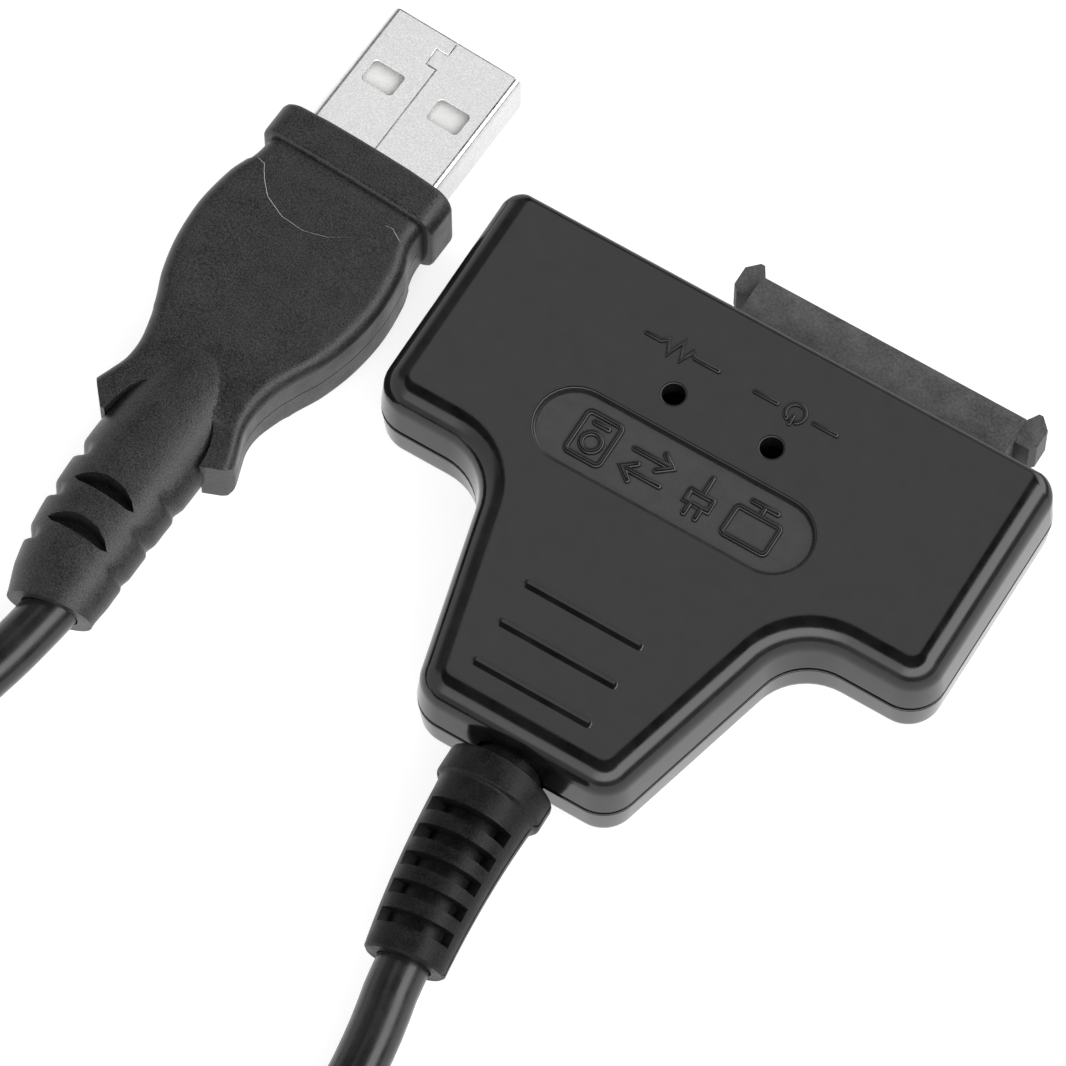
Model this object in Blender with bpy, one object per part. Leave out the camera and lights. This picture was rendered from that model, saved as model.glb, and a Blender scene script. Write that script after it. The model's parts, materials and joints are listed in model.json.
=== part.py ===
"""USB to SATA adapter: a flat two-part housing with a slimline SATA receptacle, a cord and a USB plug.

The housing lies flat on its bottom face. +X runs across its wide end, +Y towards the receptacle and +Z up.
The origin is at the bottom, midway between the neck's end and the tips of the receptacle's guide arms.
All sizes are in metres.
"""

import math

import bmesh
import bpy
from mathutils import Matrix, Vector

GAP = 0.0003  # between pieces that touch
FLOOR_GAP = 0.00002

# Housing
BODY_WIDTH = 0.0495
BODY_HEIGHT = 0.0096
BODY_LENGTH = 0.0402
WIDE_END_DEPTH = 0.0209
NECK_WIDTH_AT_SHOULDER = 0.0276
NECK_WIDTH_AT_END = 0.0176
OUTER_CORNER_RADIUS = 0.003
FAR_CORNER_RADIUS = 0.0019
NECK_FILLET_RADIUS = 0.0048
PARTING_HEIGHT = 0.0046
WALL = 0.0016
TOP_EDGE_RADIUS = 0.0023
FAR_TOP_EDGE_RADIUS = 0.0006
BOTTOM_EDGE_RADIUS = 0.0018
DRAFT = 0.0002
RECEPTACLE_REACH = 0.0054

# Details of the housing's top
RECESS_LENGTH = 0.0238
RECESS_WIDTH = 0.0064
RECESS_DEPTH = 0.00045
RECESS_FROM_WALL = 0.0154
FEATURES_X = -0.00065
LED_HOLE_RADIUS = 0.0009
LED_FROM_WALL = 0.0092
LED_X = (-0.00435, 0.00431)
RIB_COUNT = 3
RIB_LENGTH = 0.01055
RIB_WIDTH = 0.0007
RIB_HEIGHT = 0.0004
RIB_PITCH = 0.0037
FIRST_RIB_FROM_WALL = 0.02855

# Circuit board and the posts that hold it
BOARD_THICKNESS = 0.001
BOARD_HEIGHT = 0.0031
BOARD_CLEARANCE = 0.0005
BOARD_NECK_WIDTH = 0.014
BOARD_NECK_LENGTH = 0.0146
POST_RADIUS = 0.0012
POST_X = 0.0186
POST_FROM_SHOULDER = 0.0038

# Chips with legs on the board: name, x, distance past the board's shoulder, width, length, height,
# legs on a side, sides that have legs, and how far the legs reach out
CHIP_LEG_WIDTH = 0.0004
CHIPS = (
    ("bridge_chip", 0.0, -0.0035, 0.0070, 0.0070, 0.0012, 8, 4, 0.0009),
    ("memory_chip", -0.0135, 0.0072, 0.0039, 0.0049, 0.0013, 4, 2, 0.0010),
    ("voltage_regulator", -0.0055, 0.0045, 0.0035, 0.0065, 0.0015, 3, 2, 0.0012),
)
# Blocks on the board: name, finish, x, distance past the shoulder, width, length, height, corner radius
BLOCKS = (
    ("crystal", "steel", 0.0135, 0.0070, 0.0112, 0.0046, 0.0033, 0.0022),
    ("inductor", "ferrite", 0.0055, 0.0045, 0.0040, 0.0040, 0.0021, 0.0004),
)
SMALL_CORNER = 0.0001
LED_SIZE = (0.0030, 0.0015, 0.0011)
CAPACITOR_COUNT = 4
CAPACITOR_SIZE = (0.00125, 0.0020, 0.0010)
CAPACITOR_FIRST_X = -0.0195
CAPACITOR_PITCH = 0.003
CAPACITOR_FROM_FRONT = 0.0016
RESISTOR_COUNT = 4
RESISTOR_SIZE = (0.0016, 0.0008, 0.00045)
RESISTOR_FIRST_X = -0.0055
RESISTOR_PITCH = 0.0037
RESISTOR_FROM_SHOULDER = 0.0098

# SATA receptacle
RECEPTACLE_X = 0.0074
RECEPTACLE_WIDTH = 0.0234
RECEPTACLE_HEIGHT = 0.005
RECEPTACLE_BOTTOM = 0.00195
RECEPTACLE_DEPTH_INSIDE = 0.0043
EAR_WIDTH = 0.00175
EAR_LENGTH = 0.003
EAR_HEIGHT = 0.0034
EAR_LEAD = 0.00125
EAR_CHAMFER = 0.0009
EAR_INNER_CHAMFER = 0.0008
SLOT_HEIGHT = 0.0017
SIGNAL_SLOT_WIDTH = 0.0106
POWER_SLOT_WIDTH = 0.0094
SLOT_SPACING = 0.002
KEY_WIDTH = 0.0011
KEY_DEPTH = 0.0011
REAR_WALL = 0.0012
CONTACT_WIDTH = 0.0004
CONTACT_THICKNESS = 0.0002
CONTACT_SETBACK = 0.0016
CONTACT_BELOW_CEILING = 0.0003
CONTACT_FOOT = 0.0018
SIGNAL_PITCH = 0.00127
SIGNAL_CONTACTS = 7
POWER_PITCH = 0.001
POWER_CONTACTS = 6

# Strain relief at the housing
RELIEF_COLLAR_RADIUS = 0.00445
RELIEF_COLLAR_LENGTH = 0.0023
RELIEF_NECK_RADIUS = 0.0027
RELIEF_NECK_LENGTH = 0.001
RELIEF_BODY_RADIUS = 0.00403
RELIEF_END_RADIUS = 0.00325
RELIEF_LENGTH = 0.0162
RELIEF_SWAY = 0.00135
RELIEF_SAG = 0.001
FLANGE_WIDTH = 0.0088
FLANGE_HEIGHT = 0.0056
FLANGE_THICKNESS = 0.0015
RELIEF_SLOTS = 5
RELIEF_SLOT_WIDTH = 0.00105
RELIEF_SLOT_PITCH = 0.0022
RELIEF_SLOT_DEPTH = 0.0013
RELIEF_FIRST_SLOT = 0.0050
RELIEF_SPINE_ANGLE = math.radians(31)

# Cord
CORD_DIAMETER = 0.0042
CORE_DIAMETER = 0.0009
CORE_PITCH = 0.0013
PAD_PITCH = 0.0022
CORD_ENTRY = 0.002
COIL_CENTRE = (-0.0302, -0.093)
COIL_INNER_TURN = 0.0209
TIE_THICKNESS = 0.0006
TIE_WIDTH = 0.005
TIE_ANGLE = math.radians(-70)

# USB plug, in its own frame: the middle of the collar's front is the origin and +Y points to the tip
PLUG_PLACE = (-0.0359, 0.01511)
PLUG_TURN = math.radians(-2.81)
SHELL_WIDTH = 0.012
SHELL_HEIGHT = 0.0045
SHELL_SHEET = 0.0003
SHELL_EXPOSED = 0.012
SHELL_INSIDE = 0.0065
SHELL_CORNER = 0.0006
WINDOW_WIDTH = 0.0025
WINDOW_LENGTH = 0.002
WINDOW_X = 0.00315
WINDOW_FROM_TIP = 0.0059
TONGUE_HEIGHT = 0.0018
TONGUE_SETBACK = 0.0008
PLUG_CONTACT_X = (-0.0035, -0.001, 0.001, 0.0035)
PLUG_CONTACT_WIDTH = 0.001
PLUG_CONTACT_THICKNESS = 0.0002
PLUG_CONTACT_SETBACK = (0.0009, 0.0019, 0.0019, 0.0009)
PLUG_CONTACT_GROOVE = 0.0004
INNER_MOULD_LENGTH = 0.0095
COLLAR_HALF_WIDTH = 0.008
COLLAR_HALF_HEIGHT = 0.004
COLLAR_LENGTH = 0.0034
COLLAR_CORNER = 0.0018
GRIP_EDGE = 0.0014
PLUG_CORD_WAY = Vector((-0.12, -0.99, -0.07))
BOOT_SHIFT = 0.00013
BOOT_SWAY = 0.00115
BOOT_SAG = 0.0006
BOOT_SLOT_WIDTH = 0.0012
BOOT_SLOT_DEPTH = 0.0013
BOOT_TOP_SLOTS = (0.0351, 0.0389)
BOOT_SIDE_SLOTS = (0.0332, 0.0369, 0.0406)
BOOT_SIDE_SLOT_WIDTH = 0.0016
BOOT_SIDE_SLOT_DEPTH = 0.0006
BOOT_TOP_SLOT_REACH = math.radians(42)
BOOT_SIDE_SLOT_REACH = math.radians(30)

# Distance back from the collar's front, half-width and half-height of the grip behind the collar
GRIP_OUTLINE = (
    (0.0031, 0.0073, 0.0036),
    (0.0050, 0.0074, 0.0036),
    (0.0075, 0.0082, 0.0036),
    (0.0110, 0.0086, 0.0036),
    (0.0145, 0.0083, 0.0036),
    (0.0175, 0.0075, 0.0036),
    (0.0203, 0.0063, 0.00355),
    (0.0230, 0.0055, 0.0031),
    (0.0245, 0.0054, 0.0028),
)
# The same distance, then the middle line, half-width and half-height of the fin beside the boot
FIN_OUTLINE = (
    (0.0195, 0.0043, 0.0018, 0.0032),
    (0.0225, 0.0040, 0.0015, 0.0030),
    (0.0245, 0.0041, 0.0014, 0.00275),
    (0.0262, 0.0046, 0.0015, 0.0026),
    (0.0276, 0.0052, 0.0014, 0.0024),
    (0.0284, 0.0052, 0.0008, 0.00235),
    (0.0291, 0.0050, 0.0003, 0.0023),
)
# The same distance, then the half-width and half-height of the oval boot
BOOT_OUTLINE = (
    (0.0200, 0.0041, 0.0032),
    (0.0230, 0.0044, 0.0034),
    (0.0300, 0.0047, 0.0036),
    (0.0354, 0.0046, 0.0035),
    (0.0390, 0.0044, 0.0034),
    (0.0425, 0.0040, 0.0032),
    (0.04475, 0.0035, 0.0030),
)
BOOT_BEND_FROM = 0.0300

# Places worked out from the sizes above
TOTAL_LENGTH = BODY_LENGTH + RECEPTACLE_REACH
NECK_END_Y = -TOTAL_LENGTH / 2
WALL_Y = NECK_END_Y + BODY_LENGTH
SHOULDER_Y = WALL_Y - WIDE_END_DEPTH
CEILING = BODY_HEIGHT - WALL
BOARD_TOP = BOARD_HEIGHT + BOARD_THICKNESS
RECEPTACLE_FRONT_Y = WALL_Y + RECEPTACLE_REACH - EAR_LEAD
RECEPTACLE_REAR_Y = WALL_Y - RECEPTACLE_DEPTH_INSIDE
SLOT_BOTTOM = RECEPTACLE_BOTTOM + (RECEPTACLE_HEIGHT - SLOT_HEIGHT) / 2
SLOT_TOP = SLOT_BOTTOM + SLOT_HEIGHT
CONTACT_Z = SLOT_TOP - CONTACT_BELOW_CEILING
BOARD_FRONT_Y = RECEPTACLE_REAR_Y - GAP
BOARD_SHOULDER_Y = SHOULDER_Y + WALL + BOARD_CLEARANCE
BOARD_NECK_END_Y = BOARD_SHOULDER_Y - BOARD_NECK_LENGTH
CORD_RADIUS = CORD_DIAMETER / 2
RELIEF_START = Vector((0.0, NECK_END_Y - RELIEF_NECK_LENGTH, PARTING_HEIGHT))
PLUG_HEIGHT = COLLAR_HALF_HEIGHT + FLOOR_GAP
COIL_BOTTOM = FLOOR_GAP + TIE_THICKNESS + GAP
COIL_OUTER_TURN = COIL_INNER_TURN + CORD_DIAMETER + 0.0001
COIL_TOP_LAYER = CORD_DIAMETER * math.sqrt(3) / 2

# Housing outline, counter-clockwise from the neck's end: x, y and corner radius
HOUSING_CORNERS = (
    (NECK_WIDTH_AT_END / 2, NECK_END_Y, OUTER_CORNER_RADIUS),
    (NECK_WIDTH_AT_SHOULDER / 2, SHOULDER_Y, NECK_FILLET_RADIUS),
    (BODY_WIDTH / 2, SHOULDER_Y, OUTER_CORNER_RADIUS),
    (BODY_WIDTH / 2, WALL_Y, FAR_CORNER_RADIUS),
    (-BODY_WIDTH / 2, WALL_Y, FAR_CORNER_RADIUS),
    (-BODY_WIDTH / 2, SHOULDER_Y, OUTER_CORNER_RADIUS),
    (-NECK_WIDTH_AT_SHOULDER / 2, SHOULDER_Y, NECK_FILLET_RADIUS),
    (-NECK_WIDTH_AT_END / 2, NECK_END_Y, OUTER_CORNER_RADIUS),
)
FAR_WALL = 3  # its place among the outline's edges
CORNER_STEPS = 6


def clear_scene():
    for item in list(bpy.data.objects):
        bpy.data.objects.remove(item, do_unlink=True)


def material(name, colour, roughness, metallic=0.0):
    made = bpy.data.materials.new(name)
    made.use_nodes = True
    shader = made.node_tree.nodes["Principled BSDF"]
    shader.inputs["Base Color"].default_value = (*colour, 1.0)
    shader.inputs["Roughness"].default_value = roughness
    shader.inputs["Metallic"].default_value = metallic
    return made


def place(name, data, finish, parent=None):
    """Puts a mesh or a curve into the scene as a named object."""
    made = bpy.data.objects.new(name, data)
    bpy.context.collection.objects.link(made)
    if finish:
        data.materials.append(finish)
    made.parent = parent
    return made


def mesh_object(name, bm, finish, parent=None):
    bmesh.ops.recalc_face_normals(bm, faces=bm.faces)
    mesh = bpy.data.meshes.new(name)
    bm.to_mesh(mesh)
    bm.free()
    mesh.shade_smooth()
    mesh.set_sharp_from_angle(angle=math.radians(35))
    return place(name, mesh, finish, parent)


def add_loft(bm, rings):
    """Adds one closed solid through rings of points, each with the same number of points."""
    rows = [[bm.verts.new(point) for point in ring] for ring in rings]
    for first, second in zip(rows, rows[1:]):
        for index in range(len(first)):
            after = (index + 1) % len(first)
            bm.faces.new((first[index], first[after], second[after], second[index]))
    bm.faces.new(tuple(reversed(rows[0])))
    bm.faces.new(tuple(rows[-1]))


def add_box(bm, low, high):
    rings = []
    for z in (low[2], high[2]):
        rings.append(
            [(low[0], low[1], z), (high[0], low[1], z), (high[0], high[1], z), (low[0], high[1], z)]
        )
    add_loft(bm, rings)


def add_post(bm, centre, radius, low, high, sides=16):
    angles = [2 * math.pi * index / sides for index in range(sides)]
    rings = []
    for z in (low, high):
        rings.append(
            [(centre[0] + radius * math.cos(a), centre[1] + radius * math.sin(a), z) for a in angles]
        )
    add_loft(bm, rings)


def add_slot_bar(bm, centre, length, width, low, high, steps=8):
    """Adds an upright bar with round ends that runs along X."""
    radius = width / 2
    reach = length / 2 - radius
    outline = []
    for side in (1, -1):
        for step in range(steps + 1):
            angle = -math.pi / 2 + math.pi * step / steps
            outline.append((side * (reach + radius * math.cos(angle)), side * radius * math.sin(angle)))
    rings = [[(centre[0] + x, centre[1] + y, z) for x, y in outline] for z in (low, high)]
    add_loft(bm, rings)


def tool(name, bm, parent=None):
    """Makes a helper object that only shapes other objects."""
    made = mesh_object(name, bm, None, parent)
    made.hide_render = True
    made.display_type = "WIRE"
    return made


def combine(target, helper, operation):
    modifier = target.modifiers.new(helper.name, "BOOLEAN")
    modifier.operation = operation
    modifier.solver = "EXACT"
    modifier.object = helper


def rounded_outline(corners, inset=0.0, steps=CORNER_STEPS):
    """Points of a closed outline with round corners, counter-clockwise.

    The inset moves the edges inwards. It is one size, or a list with a size for each edge.
    """
    insets = inset if isinstance(inset, list) else [inset] * len(corners)
    edges = []
    for index, corner in enumerate(corners):
        start = Vector(corner[:2])
        along = (Vector(corners[(index + 1) % len(corners)][:2]) - start).normalized()
        edges.append((start + Vector((-along.y, along.x)) * insets[index], along))
    points = []
    for index, corner in enumerate(corners):
        before, after = edges[index - 1], edges[index]
        turn = math.atan2(before[1].cross(after[1]), before[1].dot(after[1]))
        distance = (after[0] - before[0]).cross(after[1]) / before[1].cross(after[1])
        meeting = before[0] + before[1] * distance
        side = 1 if turn > 0 else -1
        radius = max(corner[2] - side * (insets[index - 1] + insets[index]) / 2, 0.0001)
        first = meeting - before[1] * radius * math.tan(abs(turn) / 2)
        middle = first + Vector((-before[1].y, before[1].x)) * radius * side
        for step in range(steps + 1):
            arm = first - middle
            arm.rotate(Matrix.Rotation(turn * step / steps, 2))
            points.append(middle + arm)
    return points


def housing_ring(inset, z):
    return [(x, y, z) for x, y in rounded_outline(HOUSING_CORNERS, inset)]


def top_edge_ring(angle):
    """A ring of the round top edge, which is sharper over the far wall than over the other walls."""
    insets, heights = [], []
    for index in range(len(HOUSING_CORNERS)):
        radius = FAR_TOP_EDGE_RADIUS if index == FAR_WALL else TOP_EDGE_RADIUS
        insets.append(DRAFT + radius * (1 - math.cos(angle)))
        heights.append(BODY_HEIGHT - radius * (1 - math.sin(angle)))
    points = []
    for number, (x, y) in enumerate(rounded_outline(HOUSING_CORNERS, insets, CORNER_STEPS)):
        corner, step = divmod(number, CORNER_STEPS + 1)
        share = step / CORNER_STEPS
        points.append((x, y, heights[corner - 1] * (1 - share) + heights[corner] * share))
    return points


def receptacle_opening():
    """The hole in the far wall, which both halves of the housing share."""
    bm = bmesh.new()
    half = RECEPTACLE_WIDTH / 2 + GAP
    add_box(
        bm,
        (RECEPTACLE_X - half, WALL_Y - WALL - 0.001, RECEPTACLE_BOTTOM - GAP),
        (RECEPTACLE_X + half, WALL_Y + 0.001, RECEPTACLE_BOTTOM + RECEPTACLE_HEIGHT + GAP),
    )
    return tool("receptacle_opening", bm)


def relief_opening():
    """The round hole in the neck's end, which both halves of the housing share."""
    bm = bmesh.new()
    rings = []
    for y in (NECK_END_Y - 0.001, NECK_END_Y + WALL + 0.001):
        rings.append(circle_ring((0.0, y, PARTING_HEIGHT), RELIEF_NECK_RADIUS + GAP, 24))
    add_loft(bm, rings)
    return tool("relief_opening", bm)


def circle_ring(centre, radius, sides):
    """A round ring that faces along Y."""
    angles = [2 * math.pi * index / sides for index in range(sides)]
    return [(centre[0] + radius * math.cos(a), centre[1], centre[2] + radius * math.sin(a)) for a in angles]


def post_places():
    near = SHOULDER_Y + POST_FROM_SHOULDER
    return [(-POST_X, near), (POST_X, near), (0.0, BOARD_NECK_END_Y + 2 * POST_RADIUS)]


def make_upper_shell(finish, openings):
    rings = [housing_ring(WALL, CEILING), housing_ring(WALL, PARTING_HEIGHT + GAP / 2)]
    rings.append(housing_ring(0.0, PARTING_HEIGHT + GAP / 2))
    steps = 5
    for step in range(steps + 1):
        rings.append(top_edge_ring(math.pi / 2 * step / steps))
    bm = bmesh.new()
    add_loft(bm, rings)
    shell = mesh_object("upper_shell", bm, finish)

    added = bmesh.new()
    for index in range(RIB_COUNT):
        centre = (FEATURES_X, WALL_Y - FIRST_RIB_FROM_WALL - index * RIB_PITCH)
        add_slot_bar(added, centre, RIB_LENGTH, RIB_WIDTH, BODY_HEIGHT - RIB_HEIGHT, BODY_HEIGHT + RIB_HEIGHT)
    for centre in post_places():
        add_post(added, centre, POST_RADIUS, BOARD_TOP + GAP, CEILING + WALL / 2)
    combine(shell, tool("top_ribs_and_posts", added), "UNION")

    cut = bmesh.new()
    recess = (FEATURES_X, WALL_Y - RECESS_FROM_WALL)
    add_slot_bar(cut, recess, RECESS_LENGTH, RECESS_WIDTH, BODY_HEIGHT - RECESS_DEPTH, BODY_HEIGHT + WALL, 10)
    for x in LED_X:
        add_post(cut, (x, WALL_Y - LED_FROM_WALL), LED_HOLE_RADIUS, CEILING - WALL, BODY_HEIGHT + WALL, 20)
    combine(shell, tool("recess_and_led_holes", cut), "DIFFERENCE")
    for opening in openings:
        combine(shell, opening, "DIFFERENCE")


def make_lower_shell(finish, openings):
    rings = [housing_ring(WALL, WALL), housing_ring(WALL, PARTING_HEIGHT - GAP / 2)]
    rings.append(housing_ring(0.0, PARTING_HEIGHT - GAP / 2))
    steps = 4
    for step in range(steps + 1):
        angle = math.pi / 2 * step / steps
        inset = DRAFT + BOTTOM_EDGE_RADIUS * (1 - math.cos(angle))
        rings.append(housing_ring(inset, BOTTOM_EDGE_RADIUS * (1 - math.sin(angle))))
    bm = bmesh.new()
    add_loft(bm, rings)
    shell = mesh_object("lower_shell", bm, finish)
    posts = bmesh.new()
    for centre in post_places():
        add_post(posts, centre, POST_RADIUS, WALL / 2, BOARD_HEIGHT - GAP)
    combine(shell, tool("bottom_posts", posts), "UNION")
    for opening in openings:
        combine(shell, opening, "DIFFERENCE")


def make_circuit_board(finish):
    half_wide = BODY_WIDTH / 2 - WALL - 2 * BOARD_CLEARANCE
    half_neck = BOARD_NECK_WIDTH / 2
    outline = (
        (half_neck, BOARD_NECK_END_Y),
        (half_neck, BOARD_SHOULDER_Y),
        (half_wide, BOARD_SHOULDER_Y),
        (half_wide, BOARD_FRONT_Y),
        (-half_wide, BOARD_FRONT_Y),
        (-half_wide, BOARD_SHOULDER_Y),
        (-half_neck, BOARD_SHOULDER_Y),
        (-half_neck, BOARD_NECK_END_Y),
    )
    bm = bmesh.new()
    add_loft(bm, [[(x, y, z) for x, y in outline] for z in (BOARD_HEIGHT, BOARD_TOP)])
    mesh_object("circuit_board", bm, finish)


def slot_places():
    """Each slot's low and high x, the side of its key, and its contacts' number and pitch."""
    half = (SIGNAL_SLOT_WIDTH + SLOT_SPACING + POWER_SLOT_WIDTH) / 2
    left = RECEPTACLE_X - half
    right = RECEPTACLE_X + half
    return (
        ("signal", left, left + SIGNAL_SLOT_WIDTH, -1, SIGNAL_CONTACTS, SIGNAL_PITCH),
        ("power", right - POWER_SLOT_WIDTH, right, 1, POWER_CONTACTS, POWER_PITCH),
    )


def contact_row(low, high, side, count, pitch):
    """Middle x of each contact in a slot, kept clear of the slot's key."""
    middle = (low + high) / 2 - side * KEY_WIDTH / 2
    return [middle + (index - (count - 1) / 2) * pitch for index in range(count)]


def make_receptacle(finish):
    top = RECEPTACLE_BOTTOM + RECEPTACLE_HEIGHT
    half = RECEPTACLE_WIDTH / 2
    bm = bmesh.new()
    add_box(
        bm,
        (RECEPTACLE_X - half, RECEPTACLE_REAR_Y, RECEPTACLE_BOTTOM),
        (RECEPTACLE_X + half, RECEPTACLE_FRONT_Y, top),
    )
    housing = mesh_object("receptacle_housing", bm, finish)

    ears = bmesh.new()
    middle = RECEPTACLE_BOTTOM + RECEPTACLE_HEIGHT / 2
    tip = RECEPTACLE_FRONT_Y + EAR_LEAD
    for side in (-1, 1):
        inner = RECEPTACLE_X + side * (half - GAP)
        outer = RECEPTACLE_X + side * (half + EAR_WIDTH)
        outline = [
            (inner, tip - EAR_LENGTH),
            (outer - side * EAR_CHAMFER / 2, tip - EAR_LENGTH),
            (outer, tip - EAR_LENGTH + EAR_CHAMFER / 2),
            (outer, tip - EAR_CHAMFER),
            (outer - side * EAR_CHAMFER, tip),
            (inner + side * EAR_INNER_CHAMFER, tip),
            (inner, tip - EAR_LEAD),
        ]
        heights = (middle - EAR_HEIGHT / 2, middle + EAR_HEIGHT / 2)
        add_loft(ears, [[(x, y, z) for x, y in outline] for z in heights])
    combine(housing, tool("receptacle_ears", ears), "UNION")

    cut = bmesh.new()
    for _, low, high, side, count, pitch in slot_places():
        key_edge = low if side < 0 else high
        add_box(
            cut,
            (low, RECEPTACLE_REAR_Y + REAR_WALL, SLOT_BOTTOM),
            (high, tip + EAR_LEAD, SLOT_TOP),
        )
        row = contact_row(low, high, side, count, pitch)
        reach = CONTACT_WIDTH / 2 + GAP
        add_box(
            cut,
            (row[0] - reach, RECEPTACLE_REAR_Y - GAP, CONTACT_Z - CONTACT_THICKNESS / 2 - GAP),
            (row[-1] + reach, RECEPTACLE_REAR_Y + 2 * REAR_WALL, CONTACT_Z + CONTACT_THICKNESS / 2 + GAP / 2),
        )
        edges = sorted((key_edge, key_edge - side * KEY_WIDTH))
        add_box(
            cut,
            (edges[0], RECEPTACLE_REAR_Y + REAR_WALL, SLOT_BOTTOM - KEY_DEPTH),
            (edges[1], tip + EAR_LEAD, SLOT_BOTTOM + SLOT_HEIGHT / 2),
        )
    slots = tool("receptacle_slots", cut)
    combine(housing, slots, "DIFFERENCE")
    housing.modifiers[slots.name].use_self = True


def strip(path, thickness, x, width):
    """Rings of a bent strip: its path in the YZ plane, given a thickness and a width along X."""
    left, right = [], []
    for index, point in enumerate(path):
        before = Vector(path[max(index - 1, 0)])
        after = Vector(path[min(index + 1, len(path) - 1)])
        along = (after - before).normalized()
        normal = Vector((-along.y, along.x)) * thickness / 2
        left.append(Vector(point) + normal)
        right.append(Vector(point) - normal)
    outline = left + list(reversed(right))
    return [[(x + offset, y, z) for y, z in outline] for offset in (-width / 2, width / 2)]


def make_receptacle_contacts(finish):
    foot = BOARD_TOP + GAP + CONTACT_THICKNESS / 2
    path = (
        (RECEPTACLE_FRONT_Y - CONTACT_SETBACK, CONTACT_Z),
        (RECEPTACLE_REAR_Y - GAP, CONTACT_Z),
        (RECEPTACLE_REAR_Y - 3 * GAP, foot),
        (RECEPTACLE_REAR_Y - 3 * GAP - CONTACT_FOOT, foot),
    )
    for kind, low, high, side, count, pitch in slot_places():
        for index, x in enumerate(contact_row(low, high, side, count, pitch)):
            bm = bmesh.new()
            add_loft(bm, strip(path, CONTACT_THICKNESS, x, CONTACT_WIDTH))
            mesh_object(f"{kind}_contact_{index + 1}", bm, finish)


def make_leaded_chip(name, finish, centre, size, legs, sides, leg_reach):
    """A moulded chip that stands on the board, with legs on two or four of its sides."""
    seat = BOARD_TOP + GAP
    low = seat + GAP
    half = (size[0] / 2, size[1] / 2)
    bm = bmesh.new()
    add_box(
        bm,
        (centre[0] - half[0], centre[1] - half[1], low),
        (centre[0] + half[0], centre[1] + half[1], low + size[2]),
    )
    chip = mesh_object(name, bm, finish)
    added = bmesh.new()
    for side in range(sides):
        along_y = sides == 2 or side % 2 == 0
        direction = 1 if side < sides / 2 else -1
        span = (size[1] if along_y else size[0]) - 4 * CHIP_LEG_WIDTH
        near = (half[0] if along_y else half[1]) - CHIP_LEG_WIDTH
        reach = sorted((direction * near, direction * (near + CHIP_LEG_WIDTH + leg_reach)))
        for index in range(legs):
            offset = (index + 0.5) * span / legs - span / 2
            width = (offset - CHIP_LEG_WIDTH / 2, offset + CHIP_LEG_WIDTH / 2)
            corners = [(out, sideways) if along_y else (sideways, out) for out, sideways in zip(reach, width)]
            first, last = [(centre[0] + x, centre[1] + y) for x, y in corners]
            add_box(added, (*first, seat), (*last, low + CHIP_LEG_WIDTH))
    combine(chip, tool(name + "_legs", added), "UNION")


def make_board_block(name, finish, centre, size, corner=SMALL_CORNER):
    """A small component with slightly rounded upright edges, on the board."""
    x, y = size[0] / 2, size[1] / 2
    corners = ((x, -y, corner), (x, y, corner), (-x, y, corner), (-x, -y, corner))
    outline = rounded_outline(corners, 0.0, 3 if corner > 2 * SMALL_CORNER else 1)
    rings = []
    for z in (BOARD_TOP + GAP, BOARD_TOP + GAP + size[2]):
        rings.append([(centre[0] + point.x, centre[1] + point.y, z) for point in outline])
    bm = bmesh.new()
    add_loft(bm, rings)
    mesh_object(name, bm, finish)


def make_components(finishes):
    for name, x, past_shoulder, width, length, height, legs, sides, leg_reach in CHIPS:
        centre = (x, BOARD_SHOULDER_Y + past_shoulder)
        make_leaded_chip(name, finishes["chip"], centre, (width, length, height), legs, sides, leg_reach)
    for name, finish, x, past_shoulder, width, length, height, corner in BLOCKS:
        centre = (x, BOARD_SHOULDER_Y + past_shoulder)
        make_board_block(name, finishes[finish], centre, (width, length, height), corner)
    for name, x in zip(("access_led", "power_led"), LED_X):
        make_board_block(name, finishes["led"], (x, WALL_Y - LED_FROM_WALL), LED_SIZE)
    for index in range(CAPACITOR_COUNT):
        centre = (CAPACITOR_FIRST_X + CAPACITOR_PITCH * index, BOARD_FRONT_Y - CAPACITOR_FROM_FRONT)
        make_board_block(f"capacitor_{index + 1}", finishes["ceramic"], centre, CAPACITOR_SIZE)
    for index in range(RESISTOR_COUNT):
        centre = (RESISTOR_FIRST_X + RESISTOR_PITCH * index, BOARD_SHOULDER_Y - RESISTOR_FROM_SHOULDER)
        make_board_block(f"resistor_{index + 1}", finishes["chip"], centre, RESISTOR_SIZE)


def axis_ring(centre, along, half_width, half_height, sides):
    """An oval ring square to a direction that is nearly level."""
    across = along.cross(Vector((0, 0, 1))).normalized()
    upward = across.cross(along).normalized()
    ring = []
    for index in range(sides):
        angle = 2 * math.pi * index / sides
        ring.append(centre + across * half_width * math.cos(angle) + upward * half_height * math.sin(angle))
    return ring


def relief_middle(distance):
    """Point on the strain relief's bent middle line, at a distance from its front."""
    share = distance / RELIEF_LENGTH
    return RELIEF_START + Vector((RELIEF_SWAY * share**2, -distance, -RELIEF_SAG * share**2))


def relief_along(distance):
    share = distance / RELIEF_LENGTH**2
    return Vector((2 * RELIEF_SWAY * share, -1, -2 * RELIEF_SAG * share)).normalized()


def relief_radius(distance):
    share = (distance - RELIEF_COLLAR_LENGTH) / (RELIEF_LENGTH - RELIEF_COLLAR_LENGTH)
    return RELIEF_BODY_RADIUS + (RELIEF_END_RADIUS - RELIEF_BODY_RADIUS) * share


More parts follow.
